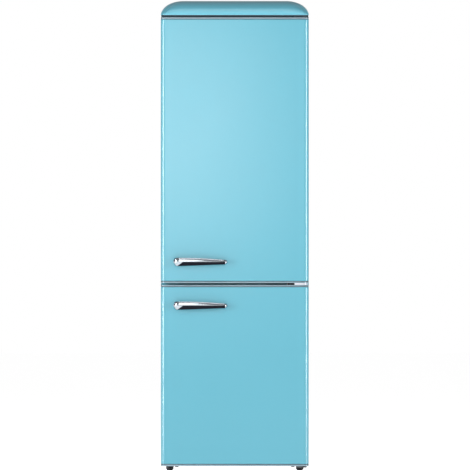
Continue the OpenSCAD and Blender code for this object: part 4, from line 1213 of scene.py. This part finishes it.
@dataclass
class Studio:
    """A pale room with soft light, a floor and the camera."""

    aim: tuple[float, float, float] = (0.0008, -0.3185, 0.959)
    distance: float = 30.0
    lens: float = 567.0
    floor_size: float = 60.0
    lamps: tuple[tuple[str, tuple[float, float, float], float, float, float], ...] = (
        ("left_strip", (-3.8, -2.7, 1.0), 0.16, 3.0, 132.0),
        ("right_strip", (3.8, -2.7, 1.0), 0.16, 3.0, 112.0),
        ("front_box", (-0.42, -3.9, 1.45), 1.1, 1.1, 4.6),
        ("high_box", (-0.3, -4.0, 4.2), 2.6, 0.9, 3.6),
        ("top_box", (-0.3, -1.9, 5.2), 2.6, 1.0, 3.2))
    stops: tuple[tuple[float, float], ...] = ((0.0, 0.38), (0.28, 0.42), (0.34, 0.36), (0.44, 0.34), (0.6, 0.26),
                                              (1.0, 0.26))

    def build(self) -> None:
        """Sets up the whole room."""
        self._floor()
        self._world()
        for lamp in self.lamps:
            self._lamp(*lamp)
        self._camera()
        bpy.context.scene.view_settings.view_transform = "Standard"

    def _floor(self) -> None:
        """Lays a pale floor."""
        shape = bmesh.new()
        bmesh.ops.create_grid(shape, x_segments=1, y_segments=1, size=self.floor_size / 2)
        mesh = bpy.data.meshes.new("studio_floor")
        shape.to_mesh(mesh)
        shape.free()
        ground = bpy.data.objects.new("studio_floor", mesh)
        bpy.context.scene.collection.objects.link(ground)
        paper = bpy.data.materials.new("studio_paper")
        paper.use_nodes = True
        set_inputs(paper.node_tree.nodes["Principled BSDF"], {
            "Base Color": (0.9, 0.9, 0.9, 1.0), "Roughness": 0.9, "Specular IOR Level": 0.1,
            "Emission Color": (1.0, 1.0, 1.0, 1.0), "Emission Strength": 0.75})
        mesh.materials.append(paper)

    def _world(self) -> None:
        """Paints a studio all round: white to look at, with darker bands for the chrome to mirror."""
        world = bpy.data.worlds.new("studio_world")
        bpy.context.scene.world = world
        world.use_nodes = True
        tree = world.node_tree
        tree.nodes.clear()
        out, path, mix, coords, split, ramp = (add_node(tree, kind) for kind in (
            "OutputWorld", "LightPath", "MixShader", "TexCoord", "SeparateXYZ", "ValToRGB"))
        seen = add_node(tree, "Background", {"Color": (1.0, 1.0, 1.0, 1.0), "Strength": 1.0})
        room = add_node(tree, "Background", {"Strength": 1.0})
        height = add_node(tree, "MapRange", {"From Min": -0.5, "From Max": 1.0})
        stops = self.stops
        ramp.color_ramp.elements[0].position = stops[0][0]
        ramp.color_ramp.elements[1].position = stops[-1][0]
        for place, _ in stops[1:-1]:
            ramp.color_ramp.elements.new(place)
        for element, (place, level) in zip(ramp.color_ramp.elements, stops):
            element.position = place
            element.color = (level, level, level, 1.0)
        links = tree.links
        links.new(coords.outputs["Generated"], split.inputs["Vector"])
        links.new(split.outputs["Z"], height.inputs["Value"])
        links.new(height.outputs["Result"], ramp.inputs["Fac"])
        links.new(ramp.outputs["Color"], room.inputs["Color"])
        links.new(path.outputs["Is Camera Ray"], mix.inputs["Fac"])
        links.new(room.outputs["Background"], mix.inputs[1])
        links.new(seen.outputs["Background"], mix.inputs[2])
        links.new(mix.outputs["Shader"], out.inputs["Surface"])

    def _lamp(self, name: str, place: tuple[float, float, float], width: float, height: float,
              brightness: float) -> None:
        """Adds a soft panel light that looks at the doors.

        Args:
            name: The light's name.
            place: Where it stands.
            width: Width of its panel.
            height: Height of its panel.
            brightness: Brightness of the panel's surface.
        """
        light = bpy.data.lights.new(name, "AREA")
        light.shape = "RECTANGLE"
        light.size = width
        light.size_y = height
        light.energy = brightness * math.pi * width * height
        lamp = bpy.data.objects.new(name, light)
        lamp.location = place
        lamp.rotation_euler = (Vector((0.0, -0.3, 1.0)) - Vector(place)).to_track_quat("-Z", "Y").to_euler()
        bpy.context.scene.collection.objects.link(lamp)

    def _camera(self) -> None:
        """Sets the camera far in front of the doors, level and straight."""
        data = bpy.data.cameras.new("view")
        data.lens = self.lens
        data.sensor_width = 36.0
        data.clip_end = 200.0
        eye = bpy.data.objects.new("view", data)
        eye.location = Vector(self.aim) - Vector((0.0, self.distance, 0.0))
        eye.rotation_euler = (math.pi / 2, 0.0, 0.0)
        bpy.context.scene.collection.objects.link(eye)
        bpy.context.scene.camera = eye


def main() -> None:
    """Builds the refrigerator piece by piece and sets up the room."""
    logging.basicConfig(level=logging.INFO, format="%(name)s: %(message)s")
    bench = Bench()
    Cabinet(bench).build()
    TopCover(bench).build()
    bin_floors = [place_of(node)[0].z / MM for node in ("middle_bin", "dairy_bin")]
    Door(bench, "upper", rim_depth=22 * MM, lugs=tuple(bin_floors)).build()
    Door(bench, "lower", rim_depth=14 * MM).build()
    Fittings(bench).build()
    Cooling(bench).build()
    Supports(bench).build()
    Studio().build()
    LOG.info("%d pieces", len(bench.pieces))


if __name__ == "__main__":
    main()
